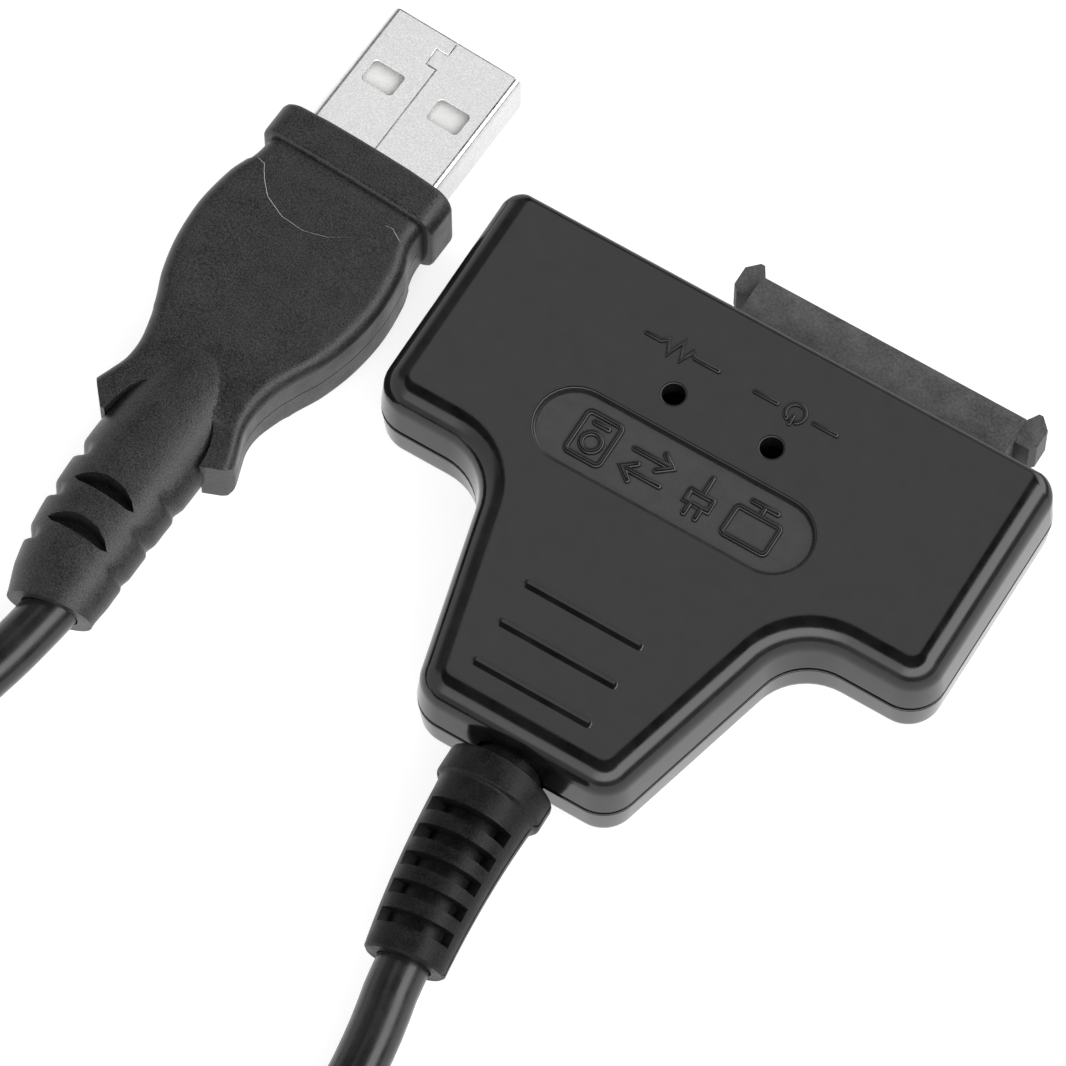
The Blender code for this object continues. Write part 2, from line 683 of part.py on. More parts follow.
def arc_band(middle, along, inner, outer, width, start, end, steps=8):
    """Rings of a curved bar that wraps part of the way round a middle line."""
    across = along.cross(Vector((0, 0, 1))).normalized()
    upward = across.cross(along).normalized()
    rings = []
    for step in range(steps + 1):
        angle = start + (end - start) * step / steps
        spoke = [
            across * half[0] * math.cos(angle) + upward * half[1] * math.sin(angle) for half in (inner, outer)
        ]
        near, far = middle - along * width / 2, middle + along * width / 2
        rings.append([near + spoke[0], near + spoke[1], far + spoke[1], far + spoke[0]])
    return rings


def cord_entry(end, along):
    """A bore for the cord in a boot's end face."""
    bm = bmesh.new()
    radius = CORD_RADIUS + GAP
    places = (end - along * (CORD_ENTRY + GAP), end + along * CORD_ENTRY)
    add_loft(bm, [axis_ring(centre, along, radius, radius, 20) for centre in places])
    return bm


def make_head_strain_relief(finish):
    sides = 24
    neck_end = RELIEF_START + Vector((0, RELIEF_NECK_LENGTH + WALL + 2 * GAP, 0))
    rings = [
        axis_ring(centre, relief_along(0), RELIEF_NECK_RADIUS, RELIEF_NECK_RADIUS, sides)
        for centre in (neck_end, RELIEF_START)
    ]
    edge = GAP
    for distance, radius in (
        (0.0, RELIEF_COLLAR_RADIUS - edge),
        (edge, RELIEF_COLLAR_RADIUS),
        (RELIEF_COLLAR_LENGTH - edge, RELIEF_COLLAR_RADIUS),
        (RELIEF_COLLAR_LENGTH, RELIEF_BODY_RADIUS),
    ):
        rings.append(axis_ring(relief_middle(distance), relief_along(distance), radius, radius, sides))
    steps = 6
    for step in range(1, steps + 1):
        distance = RELIEF_COLLAR_LENGTH + (RELIEF_LENGTH - RELIEF_COLLAR_LENGTH) * step / steps
        radius = relief_radius(distance)
        rings.append(axis_ring(relief_middle(distance), relief_along(distance), radius, radius, sides))
    bm = bmesh.new()
    add_loft(bm, rings)
    relief = mesh_object("head_strain_relief", bm, finish)

    flange = bmesh.new()
    front = NECK_END_Y + WALL + GAP
    add_box(
        flange,
        (-FLANGE_WIDTH / 2, front, PARTING_HEIGHT - FLANGE_HEIGHT / 2),
        (FLANGE_WIDTH / 2, front + FLANGE_THICKNESS, PARTING_HEIGHT + FLANGE_HEIGHT / 2),
    )
    combine(relief, tool("relief_flange", flange), "UNION")

    slots = bmesh.new()
    for index in range(RELIEF_SLOTS):
        distance = RELIEF_FIRST_SLOT + index * RELIEF_SLOT_PITCH
        middle, along = relief_middle(distance), relief_along(distance)
        reach = math.pi / 2 - RELIEF_SPINE_ANGLE
        inner = (relief_radius(distance) - RELIEF_SLOT_DEPTH,) * 2
        outer = (relief_radius(distance) + RELIEF_SLOT_DEPTH,) * 2
        for centre in (math.pi / 2, -math.pi / 2):
            add_loft(
                slots,
                arc_band(middle, along, inner, outer, RELIEF_SLOT_WIDTH, centre - reach, centre + reach),
            )
    combine(relief, tool("relief_slots", slots), "DIFFERENCE")
    end = relief_middle(RELIEF_LENGTH)
    combine(relief, tool("relief_bore", cord_entry(end, relief_along(RELIEF_LENGTH))), "DIFFERENCE")


def smooth_route(points, spacing):
    """Points at an even spacing on a smooth curve through the given points."""
    ends = [2 * Vector(points[0]) - Vector(points[1]), 2 * Vector(points[-1]) - Vector(points[-2])]
    knots = [ends[0]] + [Vector(point) for point in points] + [ends[1]]
    fine = []
    pieces = 24
    for index in range(1, len(knots) - 2):
        p0, p1, p2, p3 = knots[index - 1 : index + 3]
        for piece in range(pieces):
            t = piece / pieces
            square = (2 * p0 - 5 * p1 + 4 * p2 - p3) * t**2
            cube = (3 * p1 - p0 - 3 * p2 + p3) * t**3
            fine.append(0.5 * (2 * p1 + (p2 - p0) * t + square + cube))
    fine.append(knots[-2])
    lengths = [0.0]
    for before, after in zip(fine, fine[1:]):
        lengths.append(lengths[-1] + (after - before).length)
    count = max(2, round(lengths[-1] / spacing))
    even, place_in = [], 0
    for step in range(count + 1):
        wanted = lengths[-1] * step / count
        while place_in < len(fine) - 2 and lengths[place_in + 1] < wanted:
            place_in += 1
        share = (wanted - lengths[place_in]) / (lengths[place_in + 1] - lengths[place_in])
        even.append(fine[place_in].lerp(fine[place_in + 1], min(max(share, 0.0), 1.0)))
    return even


def make_tube(name, points, diameter, finish, resolution=2):
    curve = bpy.data.curves.new(name, "CURVE")
    curve.dimensions = "3D"
    curve.bevel_depth = diameter / 2
    curve.bevel_resolution = resolution
    curve.use_fill_caps = True
    spline = curve.splines.new("POLY")
    spline.points.add(len(points) - 1)
    for target, point in zip(spline.points, points):
        target.co = (*point, 1.0)
    return place(name, curve, finish)


def make_cores(finishes):
    start_y = NECK_END_Y + WALL + FLANGE_THICKNESS + 2 * GAP
    pad_y = BOARD_NECK_END_Y + 0.0016
    pad_z = BOARD_TOP + GAP + CORE_DIAMETER / 2
    for index, name in enumerate(("core_power", "core_data_minus", "core_data_plus", "core_ground")):
        place_in_row = index - 1.5
        side = 1 if place_in_row > 0 else -1
        start_x = place_in_row * CORE_PITCH
        pad_x = place_in_row * PAD_PITCH + side * POST_RADIUS
        route = (
            (start_x, start_y, PARTING_HEIGHT),
            (start_x, start_y + 0.0008, PARTING_HEIGHT),
            (0.5 * start_x + 0.5 * pad_x, (start_y + pad_y) / 2, pad_z + 0.0004),
            (pad_x, pad_y - 0.0008, pad_z),
            (pad_x, pad_y, pad_z),
        )
        make_tube(name, smooth_route(route, 0.0009), CORE_DIAMETER, finishes[name])


# The cord's route, chosen by hand, from the strain relief to the coil and from the coil to the plug
HEAD_ROUTE = (
    (0.00160, -0.0420, 0.00352),
    (0.00230, -0.0455, 0.00318),
    (0.00285, -0.0500, 0.00280),
    (0.00290, -0.0548, 0.00245),
    (0.00200, -0.0600, 0.00220),
    (0.00005, -0.0655, 0.00215),
    (-0.00220, -0.0708, 0.00225),
    (-0.00400, -0.0758, 0.00260),
    (-0.00475, -0.0787, 0.00283),
)
PLUG_ROUTE = (
    (-0.05296, -0.0762, 0.00650),
    (-0.05250, -0.0732, 0.00550),
    (-0.05160, -0.0690, 0.00400),
    (-0.05030, -0.0648, 0.00275),
    (-0.04840, -0.0600, 0.00220),
    (-0.04560, -0.0545, 0.00214),
    (-0.04270, -0.0488, 0.00216),
    (-0.04020, -0.0430, 0.00235),
    (-0.03860, -0.0375, 0.00270),
    (-0.03755, -0.0335, 0.00310),
)


def make_cord(finish):
    relief_end = relief_middle(RELIEF_LENGTH)
    relief_way = relief_along(RELIEF_LENGTH)
    start = [relief_end - relief_way * CORD_ENTRY, relief_end]
    spacing = 2.2 * CORD_DIAMETER
    make_tube("cable_from_head", smooth_route(start + list(HEAD_ROUTE), spacing), CORD_DIAMETER, finish)

    frame = plug_matrix()
    boot_end = frame @ boot_middle(BOOT_OUTLINE[-1][0])
    finish_points = [boot_end, boot_end - frame.to_3x3() @ PLUG_CORD_WAY * CORD_ENTRY]
    make_tube("cable_to_plug", smooth_route(list(PLUG_ROUTE) + finish_points, spacing), CORD_DIAMETER, finish)


def coil_profile(grow=0.0, inner_room=0.0):
    """Radius and height points of the coil's section, two turns below and one on top."""
    inner = COIL_INNER_TURN - CORD_RADIUS - grow - inner_room
    outer = COIL_OUTER_TURN + CORD_RADIUS + grow
    middle = (COIL_INNER_TURN + COIL_OUTER_TURN) / 2
    low = COIL_BOTTOM - grow
    high = COIL_BOTTOM + COIL_TOP_LAYER + CORD_DIAMETER + grow
    waist = COIL_BOTTOM + CORD_DIAMETER * 0.72
    corner = CORD_RADIUS * 0.55
    crown = CORD_RADIUS * 0.85 + grow
    return (
        (inner + corner, low),
        (outer - corner, low),
        (outer, low + corner),
        (outer, waist),
        (middle + crown, high - corner),
        (middle + crown * 0.5, high),
        (middle - crown * 0.5, high),
        (middle - crown, high - corner),
        (inner, waist),
        (inner, low + corner),
    )


def make_coil(finish, tie_finish):
    sides = 48
    bm = bmesh.new()
    rings = []
    for index in range(sides):
        angle = 2 * math.pi * index / sides
        rings.append(
            [
                bm.verts.new((COIL_CENTRE[0] + r * math.cos(angle), COIL_CENTRE[1] + r * math.sin(angle), z))
                for r, z in coil_profile()
            ]
        )
    for index in range(sides):
        first, second = rings[index], rings[(index + 1) % sides]
        for place_in in range(len(first)):
            after = (place_in + 1) % len(first)
            bm.faces.new((first[place_in], first[after], second[after], second[place_in]))
    mesh_object("cable_coil", bm, finish)

    along = Vector((-math.sin(TIE_ANGLE), math.cos(TIE_ANGLE), 0))
    spoke = Vector((math.cos(TIE_ANGLE), math.sin(TIE_ANGLE), 0))
    centre = Vector((*COIL_CENTRE, 0))
    bulge = TIE_WIDTH**2 / (8 * COIL_INNER_TURN)
    bm = bmesh.new()
    loops = []
    for grow, offset in (
        (GAP, -TIE_WIDTH / 2),
        (GAP, TIE_WIDTH / 2),
        (GAP + TIE_THICKNESS, TIE_WIDTH / 2),
        (GAP + TIE_THICKNESS, -TIE_WIDTH / 2),
    ):
        loops.append(
            [
                bm.verts.new(centre + spoke * r + along * offset + Vector((0, 0, z)))
                for r, z in coil_profile(grow, bulge)
            ]
        )
    for index, loop in enumerate(loops):
        other = loops[(index + 1) % len(loops)]
        for place_in in range(len(loop)):
            after = (place_in + 1) % len(loop)
            bm.faces.new((loop[place_in], loop[after], other[after], other[place_in]))
    mesh_object("coil_tie", bm, tie_finish)


def plug_matrix():
    return Matrix.Translation((*PLUG_PLACE, PLUG_HEIGHT)) @ Matrix.Rotation(PLUG_TURN, 4, "Z")


def boot_middle(back):
    """Point on the boot's middle line, at a distance back from the collar's front."""
    share = max(0.0, (back - BOOT_BEND_FROM) / (BOOT_OUTLINE[-1][0] - BOOT_BEND_FROM))
    return Vector((BOOT_SHIFT + BOOT_SWAY * share**3, -back, -BOOT_SAG * share**2))


def boot_along(back):
    step = 0.0001
    return (boot_middle(back) - boot_middle(back - step)).normalized()


def boot_half_sizes(back):
    for before, after in zip(BOOT_OUTLINE, BOOT_OUTLINE[1:]):
        if back <= after[0] or after is BOOT_OUTLINE[-1]:
            share = (back - before[0]) / (after[0] - before[0])
            return tuple(low + (high - low) * share for low, high in zip(before[1:], after[1:]))


def section(centre, half_width, half_height, edge, back, steps=4):
    """A closed section with round corners that faces along Y."""
    corners = (
        (half_width, -half_height, edge),
        (half_width, half_height, edge),
        (-half_width, half_height, edge),
        (-half_width, -half_height, edge),
    )
    return [(centre + point.x, -back, point.y) for point in rounded_outline(corners, 0.0, steps)]


def make_overmould(finish, plug):
    soft = 0.0005
    bm = bmesh.new()
    rings = []
    for back, shrink in ((0.0, soft), (soft, 0.0), (COLLAR_LENGTH - soft, 0.0), (COLLAR_LENGTH, soft)):
        half = (COLLAR_HALF_WIDTH - shrink, COLLAR_HALF_HEIGHT - shrink)
        rings.append(section(0.0, *half, COLLAR_CORNER - shrink, back))
    add_loft(bm, rings)
    overmould = mesh_object("plug_overmould", bm, finish, plug)

    grip = bmesh.new()
    rings = []
    for back, half_width, half_height in GRIP_OUTLINE:
        rings.append(section(0.0, half_width, half_height, GRIP_EDGE, back))
    add_loft(grip, rings)
    combine(overmould, tool("grip", grip, plug), "UNION")

    for side in (-1, 1):
        fin = bmesh.new()
        rings = []
        for back, middle, half_width, half_height in FIN_OUTLINE:
            rings.append(section(side * middle, half_width, half_height, half_width * 0.6, back, 2))
        add_loft(fin, rings)
        combine(overmould, tool(f"fin_{'left' if side < 0 else 'right'}", fin, plug), "UNION")

    boot = bmesh.new()
    rings = []
    for back, half_width, half_height in BOOT_OUTLINE:
        rings.append(axis_ring(boot_middle(back), boot_along(back), half_width, half_height, 24))
    add_loft(boot, rings)
    combine(overmould, tool("boot", boot, plug), "UNION")

    slots = bmesh.new()
    top_and_bottom = (math.pi / 2, -math.pi / 2)
    for backs, width, depth, centres, reach in (
        (BOOT_TOP_SLOTS, BOOT_SLOT_WIDTH, BOOT_SLOT_DEPTH, top_and_bottom, BOOT_TOP_SLOT_REACH),
        (BOOT_SIDE_SLOTS, BOOT_SIDE_SLOT_WIDTH, BOOT_SIDE_SLOT_DEPTH, (0.0, math.pi), BOOT_SIDE_SLOT_REACH),
    ):
        for back in backs:
            half = boot_half_sizes(back)
            inner = tuple(size - depth for size in half)
            outer = tuple(size + depth for size in half)
            middle, along = boot_middle(back), boot_along(back)
            for centre in centres:
                add_loft(
                    slots,
                    arc_band(middle, along, inner, outer, width, centre - reach, centre + reach, 6),
                )
    combine(overmould, tool("boot_slots", slots, plug), "DIFFERENCE")

    bore = cord_entry(boot_middle(BOOT_OUTLINE[-1][0]), PLUG_CORD_WAY)
    combine(overmould, tool("boot_bore", bore, plug), "DIFFERENCE")
    pocket = bmesh.new()
    room = GAP
    add_box(
        pocket,
        (-SHELL_WIDTH / 2 - room, -SHELL_INSIDE - INNER_MOULD_LENGTH - 2 * room, -SHELL_HEIGHT / 2 - room),
        (SHELL_WIDTH / 2 + room, room, SHELL_HEIGHT / 2 + room),
    )
    combine(overmould, tool("shell_pocket", pocket, plug), "DIFFERENCE")


def make_plug_shell(finish, plug):
    """The folded steel shell, open at both ends."""
    rings = []
    steps = 3
    for inset, back in (
        (SHELL_SHEET, SHELL_INSIDE),
        (SHELL_SHEET, -SHELL_EXPOSED),
        (0.0, -SHELL_EXPOSED),
        (0.0, SHELL_INSIDE),
    ):
        rings.append(
            section(0.0, SHELL_WIDTH / 2 - inset, SHELL_HEIGHT / 2 - inset, SHELL_CORNER - inset, back, steps)
        )
    bm = bmesh.new()
    rows = [[bm.verts.new(point) for point in ring] for ring in rings]
    for index, first in enumerate(rows):
        second = rows[(index + 1) % len(rows)]
        for place_in in range(len(first)):
            after = (place_in + 1) % len(first)
            bm.faces.new((first[place_in], first[after], second[after], second[place_in]))
    shell = mesh_object("plug_shell", bm, finish, plug)
    cut = bmesh.new()
    middle = SHELL_EXPOSED - WINDOW_FROM_TIP
    for side in (-1, 1):
        for z in (-SHELL_HEIGHT / 2, SHELL_HEIGHT / 2):
            add_box(
                cut,
                (side * WINDOW_X - WINDOW_WIDTH / 2, middle - WINDOW_LENGTH / 2, z - 2 * SHELL_SHEET),
                (side * WINDOW_X + WINDOW_WIDTH / 2, middle + WINDOW_LENGTH / 2, z + 2 * SHELL_SHEET),
            )
    combine(shell, tool("shell_windows", cut, plug), "DIFFERENCE")


def make_plug_inside(finishes, plug):
    """The tongue under the shell's upper wall, its four contacts, and the moulding round the shell's tail."""
    room = GAP
    half = SHELL_WIDTH / 2 - SHELL_SHEET - room
    ceiling = SHELL_HEIGHT / 2 - SHELL_SHEET - room
    tongue_face = ceiling - TONGUE_HEIGHT
    tongue_tip = SHELL_EXPOSED - TONGUE_SETBACK
    bm = bmesh.new()
    add_box(bm, (-half, -SHELL_INSIDE, tongue_face), (half, tongue_tip, ceiling))
    insulator = mesh_object("plug_insulator", bm, finishes["insulator"], plug)
    block = bmesh.new()
    add_box(block, (-half, -SHELL_INSIDE, -ceiling), (half, -SHELL_INSIDE / 3, ceiling - TONGUE_HEIGHT / 2))
    combine(insulator, tool("insulator_block", block, plug), "UNION")
    grooves = bmesh.new()
    for x, setback in zip(PLUG_CONTACT_X, PLUG_CONTACT_SETBACK):
        reach = PLUG_CONTACT_WIDTH / 2 + room / 2
        add_box(
            grooves,
            (x - reach, -SHELL_INSIDE - room, tongue_face - room),
            (x + reach, tongue_tip - setback + room / 2, tongue_face + PLUG_CONTACT_GROOVE),
        )
    combine(insulator, tool("contact_grooves", grooves, plug), "DIFFERENCE")
    for index, (x, setback) in enumerate(zip(PLUG_CONTACT_X, PLUG_CONTACT_SETBACK)):
        bm = bmesh.new()
        high = tongue_face + PLUG_CONTACT_GROOVE - room / 2
        add_box(
            bm,
            (x - PLUG_CONTACT_WIDTH / 2, -SHELL_INSIDE, high - PLUG_CONTACT_THICKNESS),
            (x + PLUG_CONTACT_WIDTH / 2, tongue_tip - setback, high),
        )
        mesh_object(f"plug_contact_{index + 1}", bm, finishes["gold"], plug)

    bm = bmesh.new()
    rear = -SHELL_INSIDE - room
    add_box(
        bm,
        (-SHELL_WIDTH / 2, rear - INNER_MOULD_LENGTH, -SHELL_HEIGHT / 2),
        (SHELL_WIDTH / 2, rear, SHELL_HEIGHT / 2),
    )
    mesh_object("plug_inner_mould", bm, finishes["inner"], plug)


def make_plug(finishes):
    plug = bpy.data.objects.new("plug_frame", None)
    bpy.context.collection.objects.link(plug)
    plug.matrix_world = plug_matrix()
    make_overmould(finishes["overmould"], plug)
    make_plug_shell(finishes["shell"], plug)
    make_plug_inside(finishes, plug)


def main():
    clear_scene()
    black = (0.018, 0.018, 0.019)
    finishes = {
        "housing": material("housing_plastic", black, 0.32),
        "relief": material("relief_rubber", (0.014, 0.014, 0.015), 0.5),
        "overmould": material("plug_rubber", (0.016, 0.016, 0.017), 0.6),
        "cord": material("cord_jacket", (0.013, 0.013, 0.014), 0.45),
        "tie": material("tie_plastic", (0.02, 0.02, 0.022), 0.5),
        "receptacle": material("receptacle_plastic", (0.05, 0.05, 0.052), 0.55),
        "gold": material("contact_gold", (0.83, 0.62, 0.28), 0.25, 1.0),
        "shell": material("shell_steel", (0.78, 0.78, 0.79), 0.28, 1.0),
        "steel": material("crystal_steel", (0.7, 0.7, 0.71), 0.3, 1.0),
        "insulator": material("insulator_plastic", (0.8, 0.8, 0.78), 0.5),
        "inner": material("inner_mould_plastic", (0.6, 0.6, 0.58), 0.6),
        "board": material("board_laminate", (0.02, 0.16, 0.06), 0.4),
        "chip": material("chip_resin", (0.02, 0.02, 0.02), 0.5),
        "ferrite": material("inductor_ferrite", (0.06, 0.06, 0.065), 0.6),
        "ceramic": material("capacitor_ceramic", (0.45, 0.32, 0.2), 0.5),
        "led": material("led_lens", (0.85, 0.85, 0.75), 0.3),
        "core_power": material("core_red", (0.6, 0.03, 0.02), 0.5),
        "core_data_minus": material("core_white", (0.8, 0.8, 0.78), 0.5),
        "core_data_plus": material("core_green", (0.03, 0.35, 0.08), 0.5),
        "core_ground": material("core_black", (0.02, 0.02, 0.02), 0.5),
    }
    openings = (receptacle_opening(), relief_opening())
    make_upper_shell(finishes["housing"], openings)
    make_lower_shell(finishes["housing"], openings)
    make_circuit_board(finishes["board"])
    make_receptacle(finishes["receptacle"])
    make_receptacle_contacts(finishes["gold"])
    make_components(finishes)
    make_head_strain_relief(finishes["relief"])
    make_cores(finishes)
    make_cord(finishes["cord"])
    make_coil(finishes["cord"], finishes["tie"])
    make_plug(finishes)


main()
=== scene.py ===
"""Looks of the USB to SATA adapter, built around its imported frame. All sizes are in metres."""

import json
import math

import bmesh
import bpy
from mathutils import Matrix, Vector


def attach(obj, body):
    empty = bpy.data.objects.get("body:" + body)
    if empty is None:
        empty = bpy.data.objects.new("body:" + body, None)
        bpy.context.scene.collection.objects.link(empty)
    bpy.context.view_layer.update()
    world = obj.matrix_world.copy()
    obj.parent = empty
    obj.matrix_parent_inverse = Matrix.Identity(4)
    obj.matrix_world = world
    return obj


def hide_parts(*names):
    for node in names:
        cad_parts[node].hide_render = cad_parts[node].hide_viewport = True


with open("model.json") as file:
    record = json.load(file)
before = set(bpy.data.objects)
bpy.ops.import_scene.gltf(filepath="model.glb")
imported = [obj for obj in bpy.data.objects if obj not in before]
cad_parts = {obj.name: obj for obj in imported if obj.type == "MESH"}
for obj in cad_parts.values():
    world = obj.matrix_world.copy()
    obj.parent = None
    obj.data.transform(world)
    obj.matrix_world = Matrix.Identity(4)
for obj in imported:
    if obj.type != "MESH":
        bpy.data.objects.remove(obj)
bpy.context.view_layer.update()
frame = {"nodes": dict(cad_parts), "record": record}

# Gap between neighbouring pieces, and how far a cutting helper reaches past what it cuts
GAP = 0.0003
BEYOND = 0.001

# Housing
BODY_WIDTH = 0.0495
BODY_HEIGHT = 0.0096
WALL_Y = 0.0174
SHOULDER_Y = -0.0035
NECK_END_Y = -0.0228
NECK_WIDTH_AT_SHOULDER = 0.0276
NECK_WIDTH_AT_END = 0.0176
OUTER_CORNER_RADIUS = 0.003
FAR_CORNER_RADIUS = 0.0019
NECK_FILLET_RADIUS = 0.0048
PARTING_HEIGHT = 0.0046
PARTING_GAP = 0.0004
WALL = 0.0016
LIP = 0.0009
TOP_EDGE_RADIUS = 0.0023
FAR_TOP_EDGE_RADIUS = 0.0006
BOTTOM_EDGE_RADIUS = 0.0018
DRAFT = 0.0002
CEILING = BODY_HEIGHT - WALL
LIP_PLAY = 0.00005
PARTING_SOFTNESS = 0.00012
# Width of the level ring round the top, inside the rounded edge
LEVEL_RING = 0.0003
# Index in HOUSING_CORNERS of the corner where the far edge starts
FAR_EDGE = 3

# Details of the top. RECESS_MARK and LAMP_MARK are the width and height of the lines of the marks.
RECESS_CENTRE = (-0.00065, 0.002)
RECESS_LENGTH = 0.0238
RECESS_WIDTH = 0.0064
RECESS_DEPTH = 0.00045
RECESS_RIM = 0.00015
RECESS_DRAFT = 0.00005
LED_PLACES = ((-0.00435, 0.0082), (0.00431, 0.0082))
LED_HOLE_RADIUS = 0.0009
LED_RIM = 0.00012
RIB_LENGTH = 0.01055
RIB_WIDTH = 0.00078
RIB_HEIGHT = 0.00015
RIB_Y = (-0.01115, -0.01485, -0.01855)
RECESS_MARK = (0.00055, 0.00024)
LAMP_MARK = (0.00042, 0.00022)

# Profiles of raised bars, from side to side: shares of the half-width across and of the height up
ROUND_BACK = (
    (-1.0, -0.4), (-0.96, 0.3), (-0.8, 0.75), (-0.45, 0.97), (0.0, 1.0), (0.45, 0.97), (0.8, 0.75),
    (0.96, 0.3), (1.0, -0.4),
)
SLANTED_BACK = (
    (-1.0, -0.4), (-0.97, 0.02), (-0.9, 0.1), (-0.15, 0.93), (0.05, 1.0), (0.7, 1.0), (0.88, 0.9),
    (0.97, 0.5), (1.0, -0.4),
)

# Receptacle
RECEPTACLE_X = 0.0074
RECEPTACLE_WIDTH = 0.0234
RECEPTACLE_BOTTOM = 0.00195
RECEPTACLE_HEIGHT = 0.005

# Strain relief at the housing
RELIEF_COLLAR_RADIUS = 0.00445
RELIEF_COLLAR_LENGTH = 0.0023
RELIEF_NECK_RADIUS = 0.0027
RELIEF_NECK_LENGTH = 0.001
RELIEF_BODY_RADIUS = 0.00403
RELIEF_END_RADIUS = 0.00325
RELIEF_LENGTH = 0.0162
RELIEF_SWAY = 0.00135
RELIEF_SAG = 0.001
RELIEF_CORE_RADIUS = 0.0025
RELIEF_SLOT_WIDTH = 0.00115
RELIEF_SLOTS = (0.0050, 0.0072, 0.0094, 0.0116, 0.0138)
RELIEF_SLOT_REACH = math.radians(59)
# The mould line along each side of the relief: angle above the side, half its width as an angle, and depth
RELIEF_LINE_RISE = 0.1
RELIEF_LINE_HALF = 0.035
RELIEF_LINE_DEPTH = 0.00012
RELIEF_START = Vector((0.0, NECK_END_Y - RELIEF_NECK_LENGTH, PARTING_HEIGHT))

# Cord
CORD_DIAMETER = 0.0042
CORD_RADIUS = CORD_DIAMETER / 2
CORD_ENTRY = 0.002
CORD_BORE_RADIUS = CORD_RADIUS + 0.0001
COIL_CENTRE = (-0.0302, -0.093)
COIL_OUTER_TURN = 0.0252
COIL_INNER_TURN = 0.0209
COIL_MIDDLE_TURN = (COIL_OUTER_TURN + COIL_INNER_TURN) / 2
COIL_HEIGHT = 0.00092 + CORD_RADIUS
HEAD_ROUTE = (
    (0.0016, -0.042, 0.00352), (0.0023, -0.0455, 0.00318), (0.00285, -0.05, 0.0028),
    (0.0029, -0.0548, 0.00245), (0.002, -0.06, 0.0022), (0.00005, -0.0655, 0.00215),
    (-0.0022, -0.0708, 0.00225), (-0.004, -0.0758, 0.0026), (-0.00475, -0.0787, 0.00283),
)
CROSSING_ROUTE = (
    (-0.05325, -0.0895, 0.00672), (-0.05325, -0.0855, 0.007), (-0.05322, -0.082, 0.00723),
    (-0.05313, -0.079, 0.007),
)
PLUG_ROUTE = (
    (-0.05296, -0.0762, 0.0065), (-0.0525, -0.0732, 0.0055), (-0.0516, -0.069, 0.004),
    (-0.0503, -0.0648, 0.00275), (-0.0484, -0.06, 0.0022), (-0.0456, -0.0545, 0.00214),
    (-0.0427, -0.0488, 0.00216), (-0.0402, -0.043, 0.00235), (-0.0386, -0.0375, 0.0027),
    (-0.03755, -0.0335, 0.0031),
)

# USB plug, in its own frame: the middle of the collar's front is the origin and +Y points to the tip
PLUG_MATRIX = Matrix.Translation((-0.0359, 0.01511, 0.00402)) @ Matrix.Rotation(math.radians(-2.81), 4, "Z")
SHELL_HALF = (0.006, 0.00225)
SHELL_SHEET = 0.0003
SHELL_EXPOSED = 0.012
SHELL_INSIDE = 0.0065
SHELL_CORNER = 0.0006
SHELL_PLAY = 0.00008
SHELL_POCKET_END = -0.017
WINDOW_PLACE = (0.0031, 0.0061)
WINDOW_HALF = (0.00145, 0.00106)
WINDOW_CORNER = 0.00036
COLLAR_HALF = (0.008, 0.004)
COLLAR_ARCH = 0.0003
COLLAR_LENGTH = 0.0034
PLUG_CORD_WAY = Vector((-0.12, -0.99, -0.07))
BOOT_SHIFT = 0.00013
BOOT_SWAY = 0.00115
BOOT_SAG = 0.0006
BOOT_BEND_FROM = 0.030
# Distance back from the collar's front, half-width and half-height of the boot
BOOT_OUTLINE = (
    (0.02, 0.0041, 0.0033), (0.0216, 0.0042, 0.00352), (0.023, 0.0044, 0.0036), (0.03, 0.0047, 0.0036),
    (0.0354, 0.0046, 0.0035), (0.039, 0.0044, 0.0034), (0.0425, 0.004, 0.0032),
    (0.04475, 0.0035, 0.003),
)
# Where each side notch of the boot starts, is deepest and ends, and its depth
BOOT_NOTCHES = (
    (0.0319, 0.0331, 0.0337, 0.00070),
    (0.0357, 0.0368, 0.0373, 0.00065),
    (0.0394, 0.0404, 0.0409, 0.00050),
)
# Outline of a slot in the boot's top, round its middle, and the places of the two slots
BOOT_SLOT = (
    (-0.0028, -0.0006), (-0.0023, -0.0008), (0.0023, -0.0008), (0.0028, -0.0006), (0.0022, 0.0),
    (0.0013, 0.00045), (0.0004, 0.00062), (-0.0006, 0.00062), (-0.0015, 0.00035), (-0.0023, -0.0001),
)
BOOT_SLOT_PLACES = ((0.00005, -0.0350), (0.0002, -0.03875))
BOOT_SLOT_FLOOR = 0.0012
# Distance back, half-width and half-height of the grip and its wings
GRIP_OUTLINE = (
    (0.0024, 0.0073, 0.0034), (0.005, 0.0074, 0.0036), (0.0075, 0.0082, 0.0036),
    (0.011, 0.0086, 0.0036), (0.0145, 0.0083, 0.0036), (0.0175, 0.0075, 0.0036),
    (0.0203, 0.0063, 0.0036), (0.0217, 0.0058, 0.00345), (0.0234, 0.0055, 0.0031),
    (0.025, 0.0056, 0.00278), (0.0264, 0.0061, 0.00255), (0.0277, 0.0066, 0.0024),
    (0.0296, 0.007, 0.0023),
)
# The room between the two wings: distance back and half-width
WING_ROOM = (
    (0.0258, 0.003), (0.0262, 0.00345), (0.0268, 0.0038), (0.0276, 0.00412), (0.0285, 0.00432),
    (0.0297, 0.00445), (0.031, 0.00455),
)
